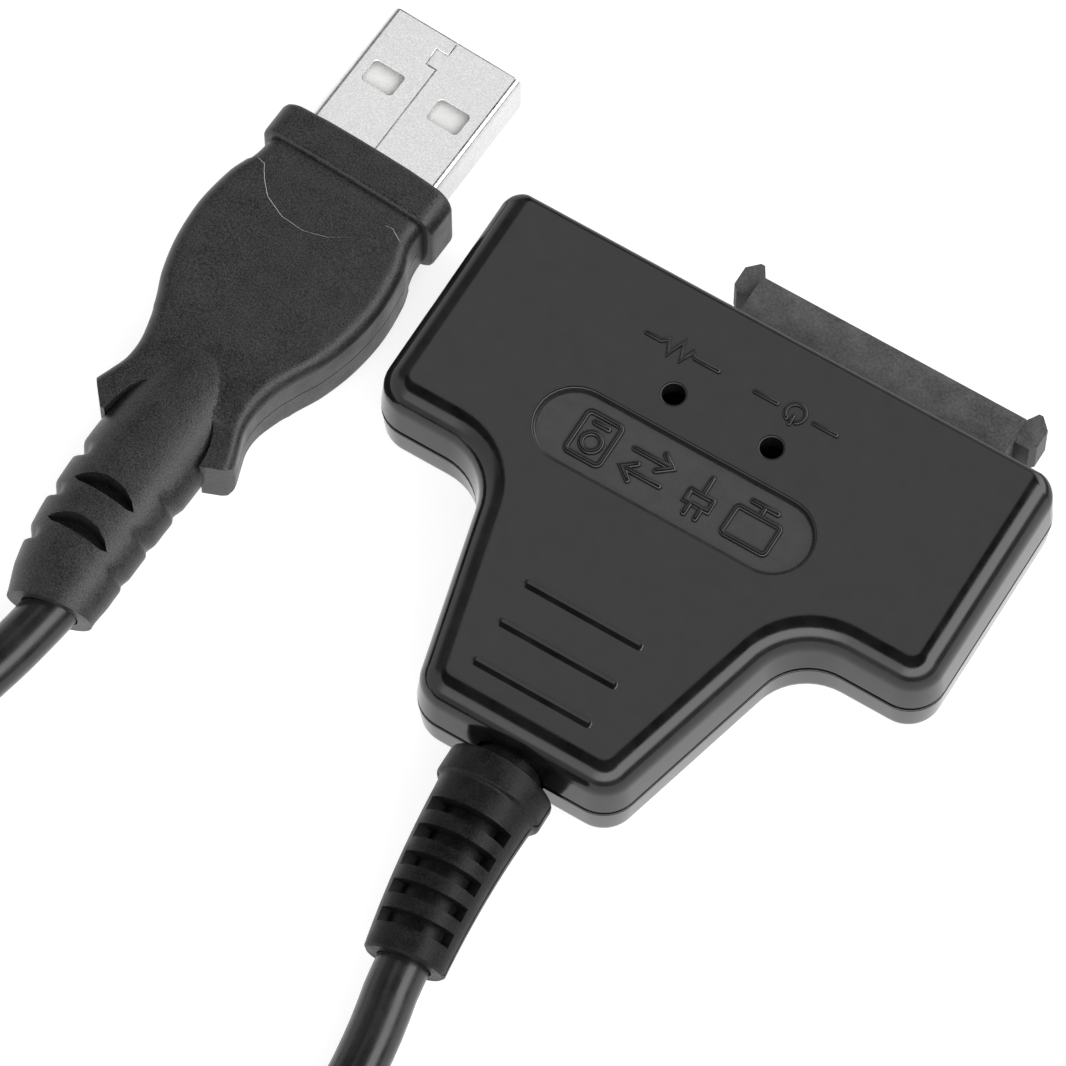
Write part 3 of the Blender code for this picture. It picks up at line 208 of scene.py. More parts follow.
# What is cut off the end of the left and right wing
WING_ENDS = (
    (
        (-0.004, -0.0303), (-0.0059, -0.0283), (-0.0064, -0.0277), (-0.0067, -0.0271),
        (-0.0068, -0.0264), (-0.0095, -0.0262), (-0.0095, -0.0312), (-0.004, -0.0312),
    ),
    (
        (0.0039, -0.0297), (0.0043, -0.0296), (0.0059, -0.0289), (0.0064, -0.0286), (0.00675, -0.0278),
        (0.0069, -0.0269), (0.0095, -0.0266), (0.0095, -0.0312), (0.0039, -0.0312),
    ),
)
GRIP_HALF_HEIGHT = 0.0036
GRIP_EDGE = 0.0013
GRIP_CROWN = 0.0001
GRIP_STEP = 0.00008
GRIP_STEP_SLOPE = 0.00016
COLLAR_CORNER = 0.0017
COLLAR_CROWN = 0.00015
# The mould line along each side of the grip: where it starts and ends, half its width, and its depth
LINE_FROM = 0.0042
LINE_TO = 0.0280
LINE_HALF = 0.00005
LINE_DEPTH = 0.00012
# The line across the grip where it steps up, from left to right
ARC = (
    (-0.012, -0.0066), (-0.0078, -0.0062), (-0.0067, -0.0057), (-0.006, -0.0058), (-0.0052, -0.0069),
    (-0.0041, -0.008), (-0.0022, -0.0088), (-0.0001, -0.0089), (0.0018, -0.0083), (0.0034, -0.0072),
    (0.0043, -0.0057), (0.0049, -0.005), (0.0055, -0.0049), (0.0069, -0.0057), (0.008, -0.0064),
    (0.012, -0.008),
)
# The folded seam of the shell, from the tip to under the collar, half its width and its depth
SEAM = (
    (0.0, 0.013), (0.0, 0.01055), (-0.0011, 0.01055), (-0.00098, 0.009), (-0.00005, 0.009),
    (0.0, -0.001),
)
SEAM_HALF = 0.00005
SEAM_DEPTH = 0.00015

# Camera: the azimuth and elevation that it looks from, the point it looks at, its distance, and its lens
# in millimetres
CAMERA_DIRECTION = (31.47, 65.14)
CAMERA_AIM = Vector((-0.00972, -0.00354, 0.0))
CAMERA_DISTANCE = 0.5381
CAMERA_LENS = 236.4

FLOOR_REACH = 3.0
FLOOR_GREY = 0.35
FLOOR_GLOW = 0.8

# Dark screens of the studio: direction (azimuth, elevation), inner and outer angle, and share of light left
SCREENS = (
    ((0, 90), 32, 39, 0.02),
    ((-112, 42), 12, 30, 0.25),
    ((-149, 41), 11, 19, 0.08),
)
# The box light that the level faces mirror, and a dim one beside it
BOX_LIGHTS = (
    ((-148.5, 65.1), 10.5, 15.5, 1.22),
    ((-124, 50), 5, 17, 0.3),
)
# The long light on the near right side: its azimuth, the sines of the elevations between which it comes on,
# and the brightness below and in it
LONG_LIGHT_AZIMUTH = 80
LONG_LIGHT_RISE = (0.28, 0.46)
LONG_LIGHT_LEVELS = (0.4, 4.1)

# Corners of the housing's right side, from near to far: place and radius
RIGHT_CORNERS = (
    (NECK_WIDTH_AT_END / 2, NECK_END_Y, OUTER_CORNER_RADIUS),
    (NECK_WIDTH_AT_SHOULDER / 2, SHOULDER_Y, NECK_FILLET_RADIUS),
    (BODY_WIDTH / 2, SHOULDER_Y, OUTER_CORNER_RADIUS),
    (BODY_WIDTH / 2, WALL_Y, FAR_CORNER_RADIUS),
)
HOUSING_CORNERS = RIGHT_CORNERS + tuple((-x, y, radius) for x, y, radius in reversed(RIGHT_CORNERS))


# Materials


def new_material(name, colour, roughness, metallic=0.0):
    made = bpy.data.materials.new(name)
    made.use_nodes = True
    nodes = made.node_tree.nodes
    shader = nodes["Principled BSDF"]
    shader.inputs["Base Color"].default_value = (*colour, 1.0)
    shader.inputs["Roughness"].default_value = roughness
    shader.inputs["Metallic"].default_value = metallic
    place = nodes.new("ShaderNodeTexCoord")
    return made, shader, place.outputs["Object"]


def noise(tree, place, scale, detail, roughness):
    made = tree.nodes.new("ShaderNodeTexNoise")
    made.inputs["Scale"].default_value = scale
    made.inputs["Detail"].default_value = detail
    made.inputs["Roughness"].default_value = roughness
    tree.links.new(place, made.inputs["Vector"])
    return made.outputs["Fac"]


def spread(tree, value, low, high, from_low=0.3, from_high=0.7):
    """Moves a value from one range to another. Most of a noise lies in the range that is the default here."""
    made = tree.nodes.new("ShaderNodeMapRange")
    set_range(made, from_low, from_high, low, high)
    tree.links.new(value, made.inputs["Value"])
    return made.outputs["Result"]


def set_range(node, from_low, from_high, low, high):
    for socket, number in zip(("From Min", "From Max", "To Min", "To Max"), (from_low, from_high, low, high)):
        node.inputs[socket].default_value = number


def colour_mix(tree, share, first, second):
    made = tree.nodes.new("ShaderNodeMix")
    made.data_type = "RGBA"
    tree.links.new(share, made.inputs["Factor"])
    made.inputs["A"].default_value = (*first, 1.0)
    made.inputs["B"].default_value = (*second, 1.0)
    return made.outputs["Result"]


def bump(tree, shader, height, distance):
    made = tree.nodes.new("ShaderNodeBump")
    made.inputs["Distance"].default_value = distance
    tree.links.new(height, made.inputs["Height"])
    tree.links.new(made.outputs["Normal"], shader.inputs["Normal"])


def grey(low, high):
    return (low,) * 3, (high,) * 3


def plastic(name, colours, roughness, scales, grain_depth, metallic=0.0, speckle=0.3, gloss=0.5):
    """A moulded or plated surface: patches of colour and gloss, and a fine grain.

    The scales are those of the patches and of the grain. Speckle is the grain's share in the colour.
    """
    made, shader, place = new_material(name, colours[0], roughness[0], metallic)
    shader.inputs["Specular IOR Level"].default_value = gloss
    tree = made.node_tree
    patches = noise(tree, place, scales[0], 4.0, 0.5)
    grain = noise(tree, place, scales[1], 2.0, 0.6)
    both = tree.nodes.new("ShaderNodeMix")
    both.inputs["Factor"].default_value = speckle
    tree.links.new(patches, both.inputs["A"])
    tree.links.new(grain, both.inputs["B"])
    share = spread(tree, both.outputs["Result"], 0.0, 1.0, 0.35, 0.65)
    tree.links.new(colour_mix(tree, share, *colours), shader.inputs["Base Color"])
    tree.links.new(spread(tree, patches, *roughness), shader.inputs["Roughness"])
    bump(tree, shader, grain, grain_depth)
    return made


def make_finishes():
    """Materials by the record's slot names, and two more: a finish for the housing's recess, and a lighter
    grey that paints a highlight on the plug's step.
    """
    core = ((0.3, 0.4), (900, 7000), 2e-6)
    # Colours, roughness, scales and grain depth, and where they aren't the usual: metallic, speckle and gloss
    rows = {
        "housing_plastic": (grey(0.003, 0.007), (0.1, 0.17), (700, 5200), 1.4e-6, 0.0, 0.3, 0.47),
        "recess_plastic": (grey(0.012, 0.022), (0.14, 0.22), (900, 5200), 4e-6),
        "relief_rubber": (grey(0.0, 0.012), (0.32, 0.48), (700, 6500), 2e-5, 0.0, 0.7, 0.16),
        "plug_rubber": (grey(0.0, 0.031), (0.32, 0.44), (600, 7500), 3e-5, 0.0, 0.85, 0.42),
        # A lighter grey that paints the highlight on the step across the grip
        "plug_painted_highlight": (grey(0.3, 0.4), (0.3, 0.4), (900, 5200), 4e-6),
        "cord_jacket": (grey(0.006, 0.012), (0.2, 0.3), (500, 5200), 5e-6),
        "tie_plastic": (grey(0.012, 0.02), (0.45, 0.6), (900, 5000), 6e-6),
        "receptacle_plastic": (grey(0.022, 0.08), (0.5, 0.65), (500, 4300), 2e-5, 0.0, 0.5),
        "contact_gold": (((0.83, 0.62, 0.28), (0.9, 0.7, 0.36)), (0.2, 0.3), (2000, 9000), 1e-6, 1.0),
        "shell_steel": (grey(0.56, 0.74), (0.14, 0.24), (900, 6500), 6e-6, 1.0, 0.7),
        "crystal_steel": (((0.6, 0.6, 0.61), (0.7, 0.7, 0.7)), (0.25, 0.35), (900, 7000), 2e-6, 1.0),
        "insulator_plastic": (((0.6, 0.6, 0.59), (0.66, 0.66, 0.65)), (0.3, 0.4), (700, 6000), 2e-6),
        "inner_mould_plastic": (((0.55, 0.55, 0.53), (0.62, 0.62, 0.6)), (0.5, 0.6), (600, 5000), 3e-6),
        "board_laminate": (((0.01, 0.1, 0.04), (0.02, 0.16, 0.06)), (0.3, 0.4), (700, 5000), 3e-6),
        "chip_resin": (grey(0.012, 0.022), (0.45, 0.6), (1500, 8000), 4e-6),
        "inductor_ferrite": (grey(0.04, 0.07), (0.5, 0.7), (1500, 7000), 6e-6),
        "capacitor_ceramic": (((0.4, 0.27, 0.16), (0.5, 0.36, 0.22)), (0.4, 0.5), (1500, 7000), 3e-6),
        "led_lens": (((0.7, 0.7, 0.6), (0.8, 0.8, 0.7)), (0.15, 0.25), (900, 7000), 1e-6),
        "core_red": (((0.5, 0.02, 0.015), (0.6, 0.03, 0.02)), *core),
        "core_white": (((0.7, 0.7, 0.68), (0.8, 0.8, 0.78)), *core),
        "core_green": (((0.02, 0.3, 0.06), (0.03, 0.36, 0.08)), *core),
        "core_black": (grey(0.01, 0.02), *core),
    }
    return {name: plastic(name, *row) for name, row in rows.items()}


# Mesh helpers

# A small round edge: shares of its size along and drawn in, from the end face outwards
ROUND_EDGE = ((0.0, 1.0), (0.1, 0.55), (0.4, 0.16), (1.0, 0.0))
# Edges between faces that meet at more than this angle stay sharp
CREASE = math.radians(40)
SHELL_CREASE = math.radians(50)
SMALLEST_CORNER = 0.0003
# Angles of the rings of a raised bar's round end
ROUND_END = [math.radians(angle) for angle in (30, 60, 85)]


def rows_between(bm, rows, closed=False):
    """Joins rows of points, each a loop with the same number of points, and returns the rows of vertices."""
    made = [[bm.verts.new(point) for point in row] for row in rows]
    pairs = list(zip(made, made[1:]))
    if closed:
        pairs.append((made[-1], made[0]))
    for first, second in pairs:
        for index in range(len(first)):
            after = (index + 1) % len(first)
            bm.faces.new((first[index], first[after], second[after], second[index]))
    return made


def loft(bm, rows):
    """Adds a closed solid through rows of points."""
    made = rows_between(bm, rows)
    bm.faces.new(tuple(reversed(made[0])))
    bm.faces.new(tuple(made[-1]))


def box(bm, low, high):
    corners = ((low[0], low[1]), (high[0], low[1]), (high[0], high[1]), (low[0], high[1]))
    loft(bm, [[(x, y, z) for x, y in corners] for z in (low[2], high[2])])


def fill_flat(bm, loops):
    """Fills the flat area between an outer loop and the loops inside it."""
    edges = []
    for loop in loops:
        for index, vert in enumerate(loop):
            after = loop[(index + 1) % len(loop)]
            edges.append(bm.edges.get((vert, after)) or bm.edges.new((vert, after)))
    bmesh.ops.triangle_fill(bm, use_beauty=True, edges=edges)


def add_object(name, data):
    made = bpy.data.objects.new(name, data)
    bpy.context.collection.objects.link(made)
    return made


def as_object(name, bm, finish=None):
    bmesh.ops.recalc_face_normals(bm, faces=bm.faces)
    mesh = bpy.data.meshes.new(name)
    bm.to_mesh(mesh)
    bm.free()
    mesh.shade_smooth()
    mesh.set_sharp_from_angle(angle=CREASE)
    if finish:
        mesh.materials.append(finish)
    return add_object(name, mesh)


def solid(name, rows, finish=None):
    """A closed solid through rows of points."""
    bm = bmesh.new()
    loft(bm, rows)
    return as_object(name, bm, finish)


def prism(name, outline, low, high):
    return solid(name, [[(x, y, z) for x, y in outline] for z in (low, high)])


def cut(target, removed, joined=()):
    """Joins objects to a target, cuts others out of it, and then deletes them."""
    helpers = [*joined, *removed]
    for helper in helpers:
        modifier = target.modifiers.new(helper.name, "BOOLEAN")
        modifier.operation = "UNION" if helper in joined else "DIFFERENCE"
        modifier.solver = "EXACT"
        modifier.object = helper
    bpy.context.view_layer.update()
    shape = target.evaluated_get(bpy.context.evaluated_depsgraph_get())
    mesh = bpy.data.meshes.new_from_object(shape)
    target.modifiers.clear()
    target.data = mesh
    mesh.set_sharp_from_angle(angle=CREASE)
    for helper in helpers:
        bpy.data.objects.remove(helper, do_unlink=True)


def keep_flat(target):
    """Lets the large faces set the shading, so that flat faces look flat."""
    weights = target.modifiers.new("flat_faces", "WEIGHTED_NORMAL")
    weights.keep_sharp = True


def soften(target, width, segments, angle):
    """Rounds the edges that are sharper than an angle in degrees."""
    modifier = target.modifiers.new("soft_edges", "BEVEL")
    modifier.width = width
    modifier.segments = segments
    modifier.limit_method = "ANGLE"
    modifier.angle_limit = math.radians(angle)
    keep_flat(target)


def rounded_outline(corners, insets, heights, steps=10):
    """A closed outline with round corners. Each edge has its own inset and height."""
    edges = []
    for index, corner in enumerate(corners):
        start = Vector(corner[:2])
        along = (Vector(corners[(index + 1) % len(corners)][:2]) - start).normalized()
        edges.append((start + Vector((-along.y, along.x)) * insets[index], along))
    points = []
    for index, corner in enumerate(corners):
        before, after = edges[index - 1], edges[index]
        turn = math.atan2(before[1].cross(after[1]), before[1].dot(after[1]))
        distance = (after[0] - before[0]).cross(after[1]) / before[1].cross(after[1])
        meeting = before[0] + before[1] * distance
        side = 1 if turn > 0 else -1
        radius = max(corner[2] - side * (insets[index - 1] + insets[index]) / 2, SMALLEST_CORNER)
        first = meeting - before[1] * radius * math.tan(abs(turn) / 2)
        middle = first + Vector((-before[1].y, before[1].x)) * radius * side
        for step in range(steps + 1):
            share = step / steps
            arm = first - middle
            arm.rotate(Matrix.Rotation(turn * share, 2))
            height = heights[index - 1] * (1 - share) + heights[index] * share
            points.append((*(middle + arm), height))
    return points


def level_outline(corners, inset, height, steps=10):
    return rounded_outline(corners, [inset] * len(corners), [height] * len(corners), steps)


def housing_level(inset, height):
    return level_outline(HOUSING_CORNERS, inset, height)


def stadium(centre, length, width, height):
    steps = 16
    radius = width / 2
    reach = length / 2 - radius
    points = []
    for side in (1, -1):
        for step in range(steps + 1):
            angle = -math.pi / 2 + math.pi * step / steps
            x = side * (reach + radius * math.cos(angle))
            points.append((centre[0] + x, centre[1] + side * radius * math.sin(angle), height))
    return points


def circle(centre, radius, height):
    angles = [2 * math.pi * index / 32 for index in range(32)]
    return [(centre[0] + radius * math.cos(a), centre[1] + radius * math.sin(a), height) for a in angles]


def add_ridge(bm, path, width, height, base, closed=False, across=ROUND_BACK):
    """A low raised bar that follows a flat path, with a given profile."""
    half = width / 2
    path = [Vector(point) for point in path]
    rows = []
    count = len(path)
    for index, point in enumerate(path):
        before = path[index - 1] if index or closed else point
        after = path[(index + 1) % count] if index < count - 1 or closed else point
        first, last = (point - before), (after - point)
        ways = [way.normalized() for way in (first, last) if way.length > 0]
        along = sum(ways, Vector((0, 0))).normalized()
        stretch = 1 / max(along.dot(ways[-1]), 0.5)
        normal = Vector((-along.y, along.x))
        rings = [0.0]
        if not closed and index == 0:
            rings = [-angle for angle in reversed(ROUND_END)] + rings
        elif not closed and index == count - 1:
            rings = rings + ROUND_END
        for angle in rings:
            scale = math.cos(angle)
            centre = point + along * math.sin(angle) * half
            row = []
            for x, z in across:
                place = centre + normal * x * half * scale * stretch
                row.append((place.x, place.y, base + height * (z * scale if z > 0 else z)))
            rows.append(row)
    made = rows_between(bm, rows, closed)
    if not closed:
        bm.faces.new(tuple(reversed(made[0])))
        bm.faces.new(tuple(made[-1]))


def arc_path(centre, radius, start, end, steps):
    angles = [math.radians(start + (end - start) * step / steps) for step in range(steps + 1)]
    return [(centre[0] + radius * math.cos(a), centre[1] + radius * math.sin(a)) for a in angles]


def frame_path(centre, half_width, half_height, corner):
    """A rounded rectangle as a closed path."""
    points = []
    for x, y, start in ((1, -1, 270), (1, 1, 0), (-1, 1, 90), (-1, -1, 180)):
        middle = (centre[0] + x * (half_width - corner), centre[1] + y * (half_height - corner))
        points += arc_path(middle, corner, start, start + 90, 4)
    return points


# Housing


def add_recess_marks(bm):
    """Plain pictures in the recess: a computer, a plug, two arrows and a drive, with their tops near -Y."""
    y = RECESS_CENTRE[1]

    def ridge(path, closed=False):
        add_ridge(bm, path, *RECESS_MARK, BODY_HEIGHT - RECESS_DEPTH, closed)

    x = 0.0064
    ridge(frame_path((x, y - 0.0004), 0.0019, 0.0013, 0.0003), True)
    ridge([(x, y + 0.0009), (x, y + 0.0017)])
    ridge([(x - 0.0011, y + 0.0018), (x + 0.0011, y + 0.0018)])
    x = 0.0018
    left, right, top, bottom = x - 0.001, x + 0.001, y - 0.0008, y + 0.0002
    ridge([(left, bottom), (left, top), (right, top), (right, bottom)])
    ridge([(left, bottom), (right, bottom)])
    ridge([(x - 0.0005, y - 0.0008), (x - 0.0005, y - 0.0018)])
    ridge([(x + 0.0005, y - 0.0008), (x + 0.0005, y - 0.0018)])
    ridge([(x, y + 0.0002), (x, y + 0.0018)])
    x = -0.0030
    for side in (-1, 1):
        level = y + side * 0.0009
        ridge([(x - 0.0016, level), (x + 0.0016, level)])
        barb, tip = x + side * 0.0007, x + side * 0.0017
        ridge([(barb, level - 0.0008), (tip, level), (barb, level + 0.0008)])
    x = -0.0077
    ridge(frame_path((x, y), 0.0015, 0.0019, 0.0004), True)
    ridge(arc_path((x, y - 0.0004), 0.0008, 0, 337, 15), True)
    ridge([(x - 0.0006, y + 0.0012), (x + 0.0006, y + 0.0012)])


def add_lamp_marks(bm):
    """A pulse line beyond one lamp hole, and a switch mark between two bars beyond the other."""

    def ridge(path):
        add_ridge(bm, path, *LAMP_MARK, BODY_HEIGHT)

    x, y = -0.0056, 0.0116
    pulse = ((-3.2, 0), (-1.9, 0), (-1.4, 0.4), (-0.9, -0.7), (-0.3, 0.8), (0.2, -0.7), (0.7, 0.4), (1.1, 0))
    ridge([(x + a / 1000, y + b / 1000) for a, b in (*pulse, (3.2, 0))])
    x = 0.0044
    ridge(arc_path((x, y), 0.0008, -60, 240, 20))
    ridge([(x, y - 0.0003), (x, y - 0.0010)])
    for side in (-1, 1):
        ridge([(x + side * 0.0016, y), (x + side * 0.0036, y)])


def openings():
    """The receptacle's opening and the strain relief's hole, to be cut out of a housing half."""
    bm = bmesh.new()
    half = RECEPTACLE_WIDTH / 2 + GAP
    box(
        bm,
        (RECEPTACLE_X - half, WALL_Y - WALL - BEYOND, RECEPTACLE_BOTTOM - GAP),
        (RECEPTACLE_X + half, WALL_Y + BEYOND, RECEPTACLE_BOTTOM + RECEPTACLE_HEIGHT + GAP),
    )
    rows = []
    for y in (NECK_END_Y - BEYOND, NECK_END_Y + WALL + BEYOND):
        ring = circle((0.0, PARTING_HEIGHT), RELIEF_NECK_RADIUS + GAP, y)
        rows.append([(x, level, z) for x, z, level in ring])
    loft(bm, rows)
    return as_object("openings", bm)


def parting_rows(side, start, step):
    """Rows from inside a housing half, over its stepped parting face, to its outer wall.

    The side is 1 for the upper half and -1 for the lower one. Start and step are heights inside the half.
    """
    parting = PARTING_HEIGHT + side * PARTING_GAP / 2
    middle = WALL / 2 + side * LIP_PLAY
    soft = PARTING_SOFTNESS
    return [
        housing_level(WALL, start),
        housing_level(WALL, step),
        housing_level(middle, step),
        housing_level(middle, parting),
        housing_level(soft, parting),
        housing_level(soft / 3, parting + side * soft / 3),
        housing_level(0.0, parting + side * soft),
    ]


def finish_half(shell):
    shell.data.shade_smooth()
    shell.data.set_sharp_from_angle(angle=SHELL_CREASE)
    keep_flat(shell)
    return shell


def make_upper_shell(finish, recess_finish):
    bm = bmesh.new()
    rows = parting_rows(1, CEILING, PARTING_HEIGHT - LIP)
    steps = 12
    for step in range(steps + 1):
        angle = math.pi / 2 * step / steps
        insets, heights = [], []
        for edge in range(len(HOUSING_CORNERS)):
            radius = FAR_TOP_EDGE_RADIUS if edge == FAR_EDGE else TOP_EDGE_RADIUS
            insets.append(DRAFT + radius * (1 - math.cos(angle)))
            heights.append(BODY_HEIGHT - radius * (1 - math.sin(angle)))
        rows.append(rounded_outline(HOUSING_CORNERS, insets, heights))
    rows.append(rounded_outline(HOUSING_CORNERS, [inset + LEVEL_RING for inset in insets], heights))
    made = rows_between(bm, rows)
    top_loops, ceiling_loops = [made[-1]], [made[0]]

    rim = RECESS_RIM
    recess_rows = []
    for inset, drop in (
        (-2 * rim, 0.0),
        (-rim, 0.0),
        (-rim * 0.3, rim * 0.25),
        (0.0, rim),
        (RECESS_DRAFT, RECESS_DEPTH - rim),
        (rim * 0.4, RECESS_DEPTH - rim * 0.25),
        (rim * 1.2, RECESS_DEPTH),
        (rim * 2, RECESS_DEPTH),
    ):
        size = (RECESS_LENGTH - 2 * inset, RECESS_WIDTH - 2 * inset)
        recess_rows.append(stadium(RECESS_CENTRE, *size, BODY_HEIGHT - drop))
    made = rows_between(bm, recess_rows)
    top_loops.append(made[0])
    bm.faces.new(made[-1])

    rim = LED_RIM
    for place in LED_PLACES:
        hole_rows = []
        for grow, height in (
            (2 * rim, BODY_HEIGHT),
            (rim, BODY_HEIGHT),
            (rim * 0.3, BODY_HEIGHT - rim * 0.3),
            (0.0, BODY_HEIGHT - rim),
            (0.0, CEILING),
        ):
            hole_rows.append(circle(place, LED_HOLE_RADIUS + grow, height))
        made = rows_between(bm, hole_rows)
        top_loops.append(made[0])
        ceiling_loops.append(made[-1])
    fill_flat(bm, top_loops)
    fill_flat(bm, ceiling_loops)
    shell = as_object("housing_top", bm, finish)
    shell.data.materials.append(recess_finish)
    cut(shell, [openings()])

    marks = bmesh.new()
    marks.from_mesh(shell.data)
    floor = BODY_HEIGHT - RECESS_DEPTH
    for face in marks.faces:
        in_recess = abs(face.calc_center_median().z - floor) < 0.00002 and face.normal.z > 0.9
        face.material_index = int(in_recess)
    for y in RIB_Y:
        reach = RIB_LENGTH / 2 - RIB_WIDTH / 2
        path = [(RECESS_CENTRE[0] - reach, y), (RECESS_CENTRE[0] + reach, y)]
        add_ridge(marks, path, RIB_WIDTH, RIB_HEIGHT, BODY_HEIGHT, across=SLANTED_BACK)
    add_recess_marks(marks)
    add_lamp_marks(marks)
    marks.to_mesh(shell.data)
    marks.free()
    return finish_half(shell)


def make_lower_shell(finish):
    rows = parting_rows(-1, WALL, PARTING_HEIGHT - LIP - GAP)
    steps = 10
    for step in range(steps + 1):
        angle = math.pi / 2 * step / steps
        inset = DRAFT + BOTTOM_EDGE_RADIUS * (1 - math.cos(angle))
        rows.append(housing_level(inset, BOTTOM_EDGE_RADIUS * (1 - math.sin(angle))))
    shell = solid("housing_bottom", rows, finish)
    cut(shell, [openings()])
    return finish_half(shell)


# Strain relief at the housing


def axis_ring(centre, along, half_width, half_height, sides):
    """An oval ring square to a direction that is nearly level."""
    across = along.cross(Vector((0, 0, 1))).normalized()
    upward = across.cross(along).normalized()
    ring = []
    for index in range(sides):
        angle = 2 * math.pi * index / sides
        ring.append(centre + across * half_width * math.cos(angle) + upward * half_height * math.sin(angle))
    return ring


def relief_middle(distance):
    share = distance / RELIEF_LENGTH
    return RELIEF_START + Vector((RELIEF_SWAY * share**2, -distance, -RELIEF_SAG * share**2))


def relief_along(distance):
    share = max(distance, 0.0) / RELIEF_LENGTH**2
    return Vector((2 * RELIEF_SWAY * share, -1, -2 * RELIEF_SAG * share)).normalized()


def relief_radius(distance):
    share = (distance - RELIEF_COLLAR_LENGTH) / (RELIEF_LENGTH - RELIEF_COLLAR_LENGTH)
    return RELIEF_BODY_RADIUS + (RELIEF_END_RADIUS - RELIEF_BODY_RADIUS) * share


def arc_band(middle, along, inner, outer, width, start, end, steps=14):
    """Rows of a curved bar that wraps part of the way round a middle line."""
    across = along.cross(Vector((0, 0, 1))).normalized()
    upward = across.cross(along).normalized()
    rows = []
    for step in range(steps + 1):
        angle = start + (end - start) * step / steps
        spokes = [across * h[0] * math.cos(angle) + upward * h[1] * math.sin(angle) for h in (inner, outer)]
        near, far = middle - along * width / 2, middle + along * width / 2
        rows.append([near + spokes[0], near + spokes[1], far + spokes[1], far + spokes[0]])
    return rows


def make_relief(finish):
    def ring(centre, distance, radius):
        return axis_ring(centre, relief_along(distance), radius, radius, 48)

    rows = []
    neck_front = RELIEF_START + Vector((0, RELIEF_NECK_LENGTH + WALL + 2 * GAP, 0))
    for centre in (neck_front, RELIEF_START):
        rows.append(ring(centre, 0, RELIEF_NECK_RADIUS))
    soft = 0.0004
    for share, drop in ((0.0, 1.0), (0.08, 0.55), (0.35, 0.16), (1.0, 0.0)):
        rows.append(ring(relief_middle(soft * share), 0, RELIEF_COLLAR_RADIUS - soft * drop))
    collar_end = RELIEF_COLLAR_LENGTH
    outline = [
        (collar_end - 0.0002, RELIEF_COLLAR_RADIUS),
        (collar_end - 0.00005, RELIEF_COLLAR_RADIUS - 0.0001),
        (collar_end, RELIEF_COLLAR_RADIUS - 0.00025),
        (collar_end + 0.0001, RELIEF_BODY_RADIUS + 0.00005),
        (collar_end + 0.0003, RELIEF_BODY_RADIUS),
    ]
    steps = 16
    for step in range(1, steps + 1):
        distance = collar_end + (RELIEF_LENGTH - collar_end - 0.0002) * step / steps
        outline.append((distance, relief_radius(distance)))
    outline.append((RELIEF_LENGTH, RELIEF_END_RADIUS - 0.0002))
    for distance, radius in outline:
        rows.append(ring(relief_middle(distance), distance, radius))
    relief = solid("cord_boot_at_housing", rows, finish)

    slots = bmesh.new()
    outer = (RELIEF_BODY_RADIUS + BEYOND,) * 2
    inner = (RELIEF_CORE_RADIUS,) * 2
    for distance in RELIEF_SLOTS:
        middle, along = relief_middle(distance), relief_along(distance)
        for centre in (math.pi / 2, -math.pi / 2):
            ends = (centre - RELIEF_SLOT_REACH, centre + RELIEF_SLOT_REACH)
            loft(slots, arc_band(middle, along, inner, outer, RELIEF_SLOT_WIDTH, *ends))
    end, way = relief_middle(RELIEF_LENGTH), relief_along(RELIEF_LENGTH)
    places = (end + way * distance for distance in (-CORD_ENTRY - GAP, CORD_ENTRY))
    bore = solid("bore", [axis_ring(place, way, CORD_BORE_RADIUS, CORD_BORE_RADIUS, 32) for place in places])
    line = bmesh.new()
    for side in (RELIEF_LINE_RISE, math.pi - RELIEF_LINE_RISE):
        rows = []
        for step in range(13):
            distance = 0.0003 + (RELIEF_LENGTH - 0.0001) * step / 12
            middle, along = relief_middle(distance), relief_along(distance)
            edge = RELIEF_COLLAR_RADIUS if distance < collar_end else relief_radius(distance)
            spokes = [(edge - RELIEF_LINE_DEPTH,) * 2, (RELIEF_COLLAR_RADIUS + 0.0005,) * 2]
            ends = (side - RELIEF_LINE_HALF, side + RELIEF_LINE_HALF)
            band = arc_band(middle, along, *spokes, 0.0, *ends, 1)
            rows.append([band[0][0], band[0][1], band[1][1], band[1][0]])
        loft(line, rows)
    cut(relief, [as_object("slots", slots), bore, as_object("line", line)])
    soften(relief, 0.00012, 2, 45)
    return relief


# Cord


def ease(share):
    share = min(max(share, 0.0), 1.0)
    return share * share * (3 - 2 * share)


def coil_point(turned):
    """Point on the coil's line, turned so many degrees clockwise from its right side."""
    radius = COIL_OUTER_TURN + (COIL_INNER_TURN - COIL_OUTER_TURN) * ease((turned - 295) / 60)
    radius += (COIL_MIDDLE_TURN - COIL_INNER_TURN) * ease((turned - 660) / 60)
    rise = CORD_DIAMETER * ease((turned - 580) / 80)
    settle = (1 - math.sqrt(3) / 2) * CORD_DIAMETER * ease((turned - 720) / 60)
    angle = -math.radians(turned)
    x = COIL_CENTRE[0] + radius * math.cos(angle)
    y = COIL_CENTRE[1] + radius * math.sin(angle)
    return Vector((x, y, COIL_HEIGHT + rise - settle))


def smooth_value(p0, p1, p2, p3, t):
    """Value between p1 and p2 on the smooth curve through four values."""
    square = (2 * p0 - 5 * p1 + 4 * p2 - p3) * t**2
    cube = (3 * p1 - p0 - 3 * p2 + p3) * t**3
    return 0.5 * (2 * p1 + (p2 - p0) * t + square + cube)


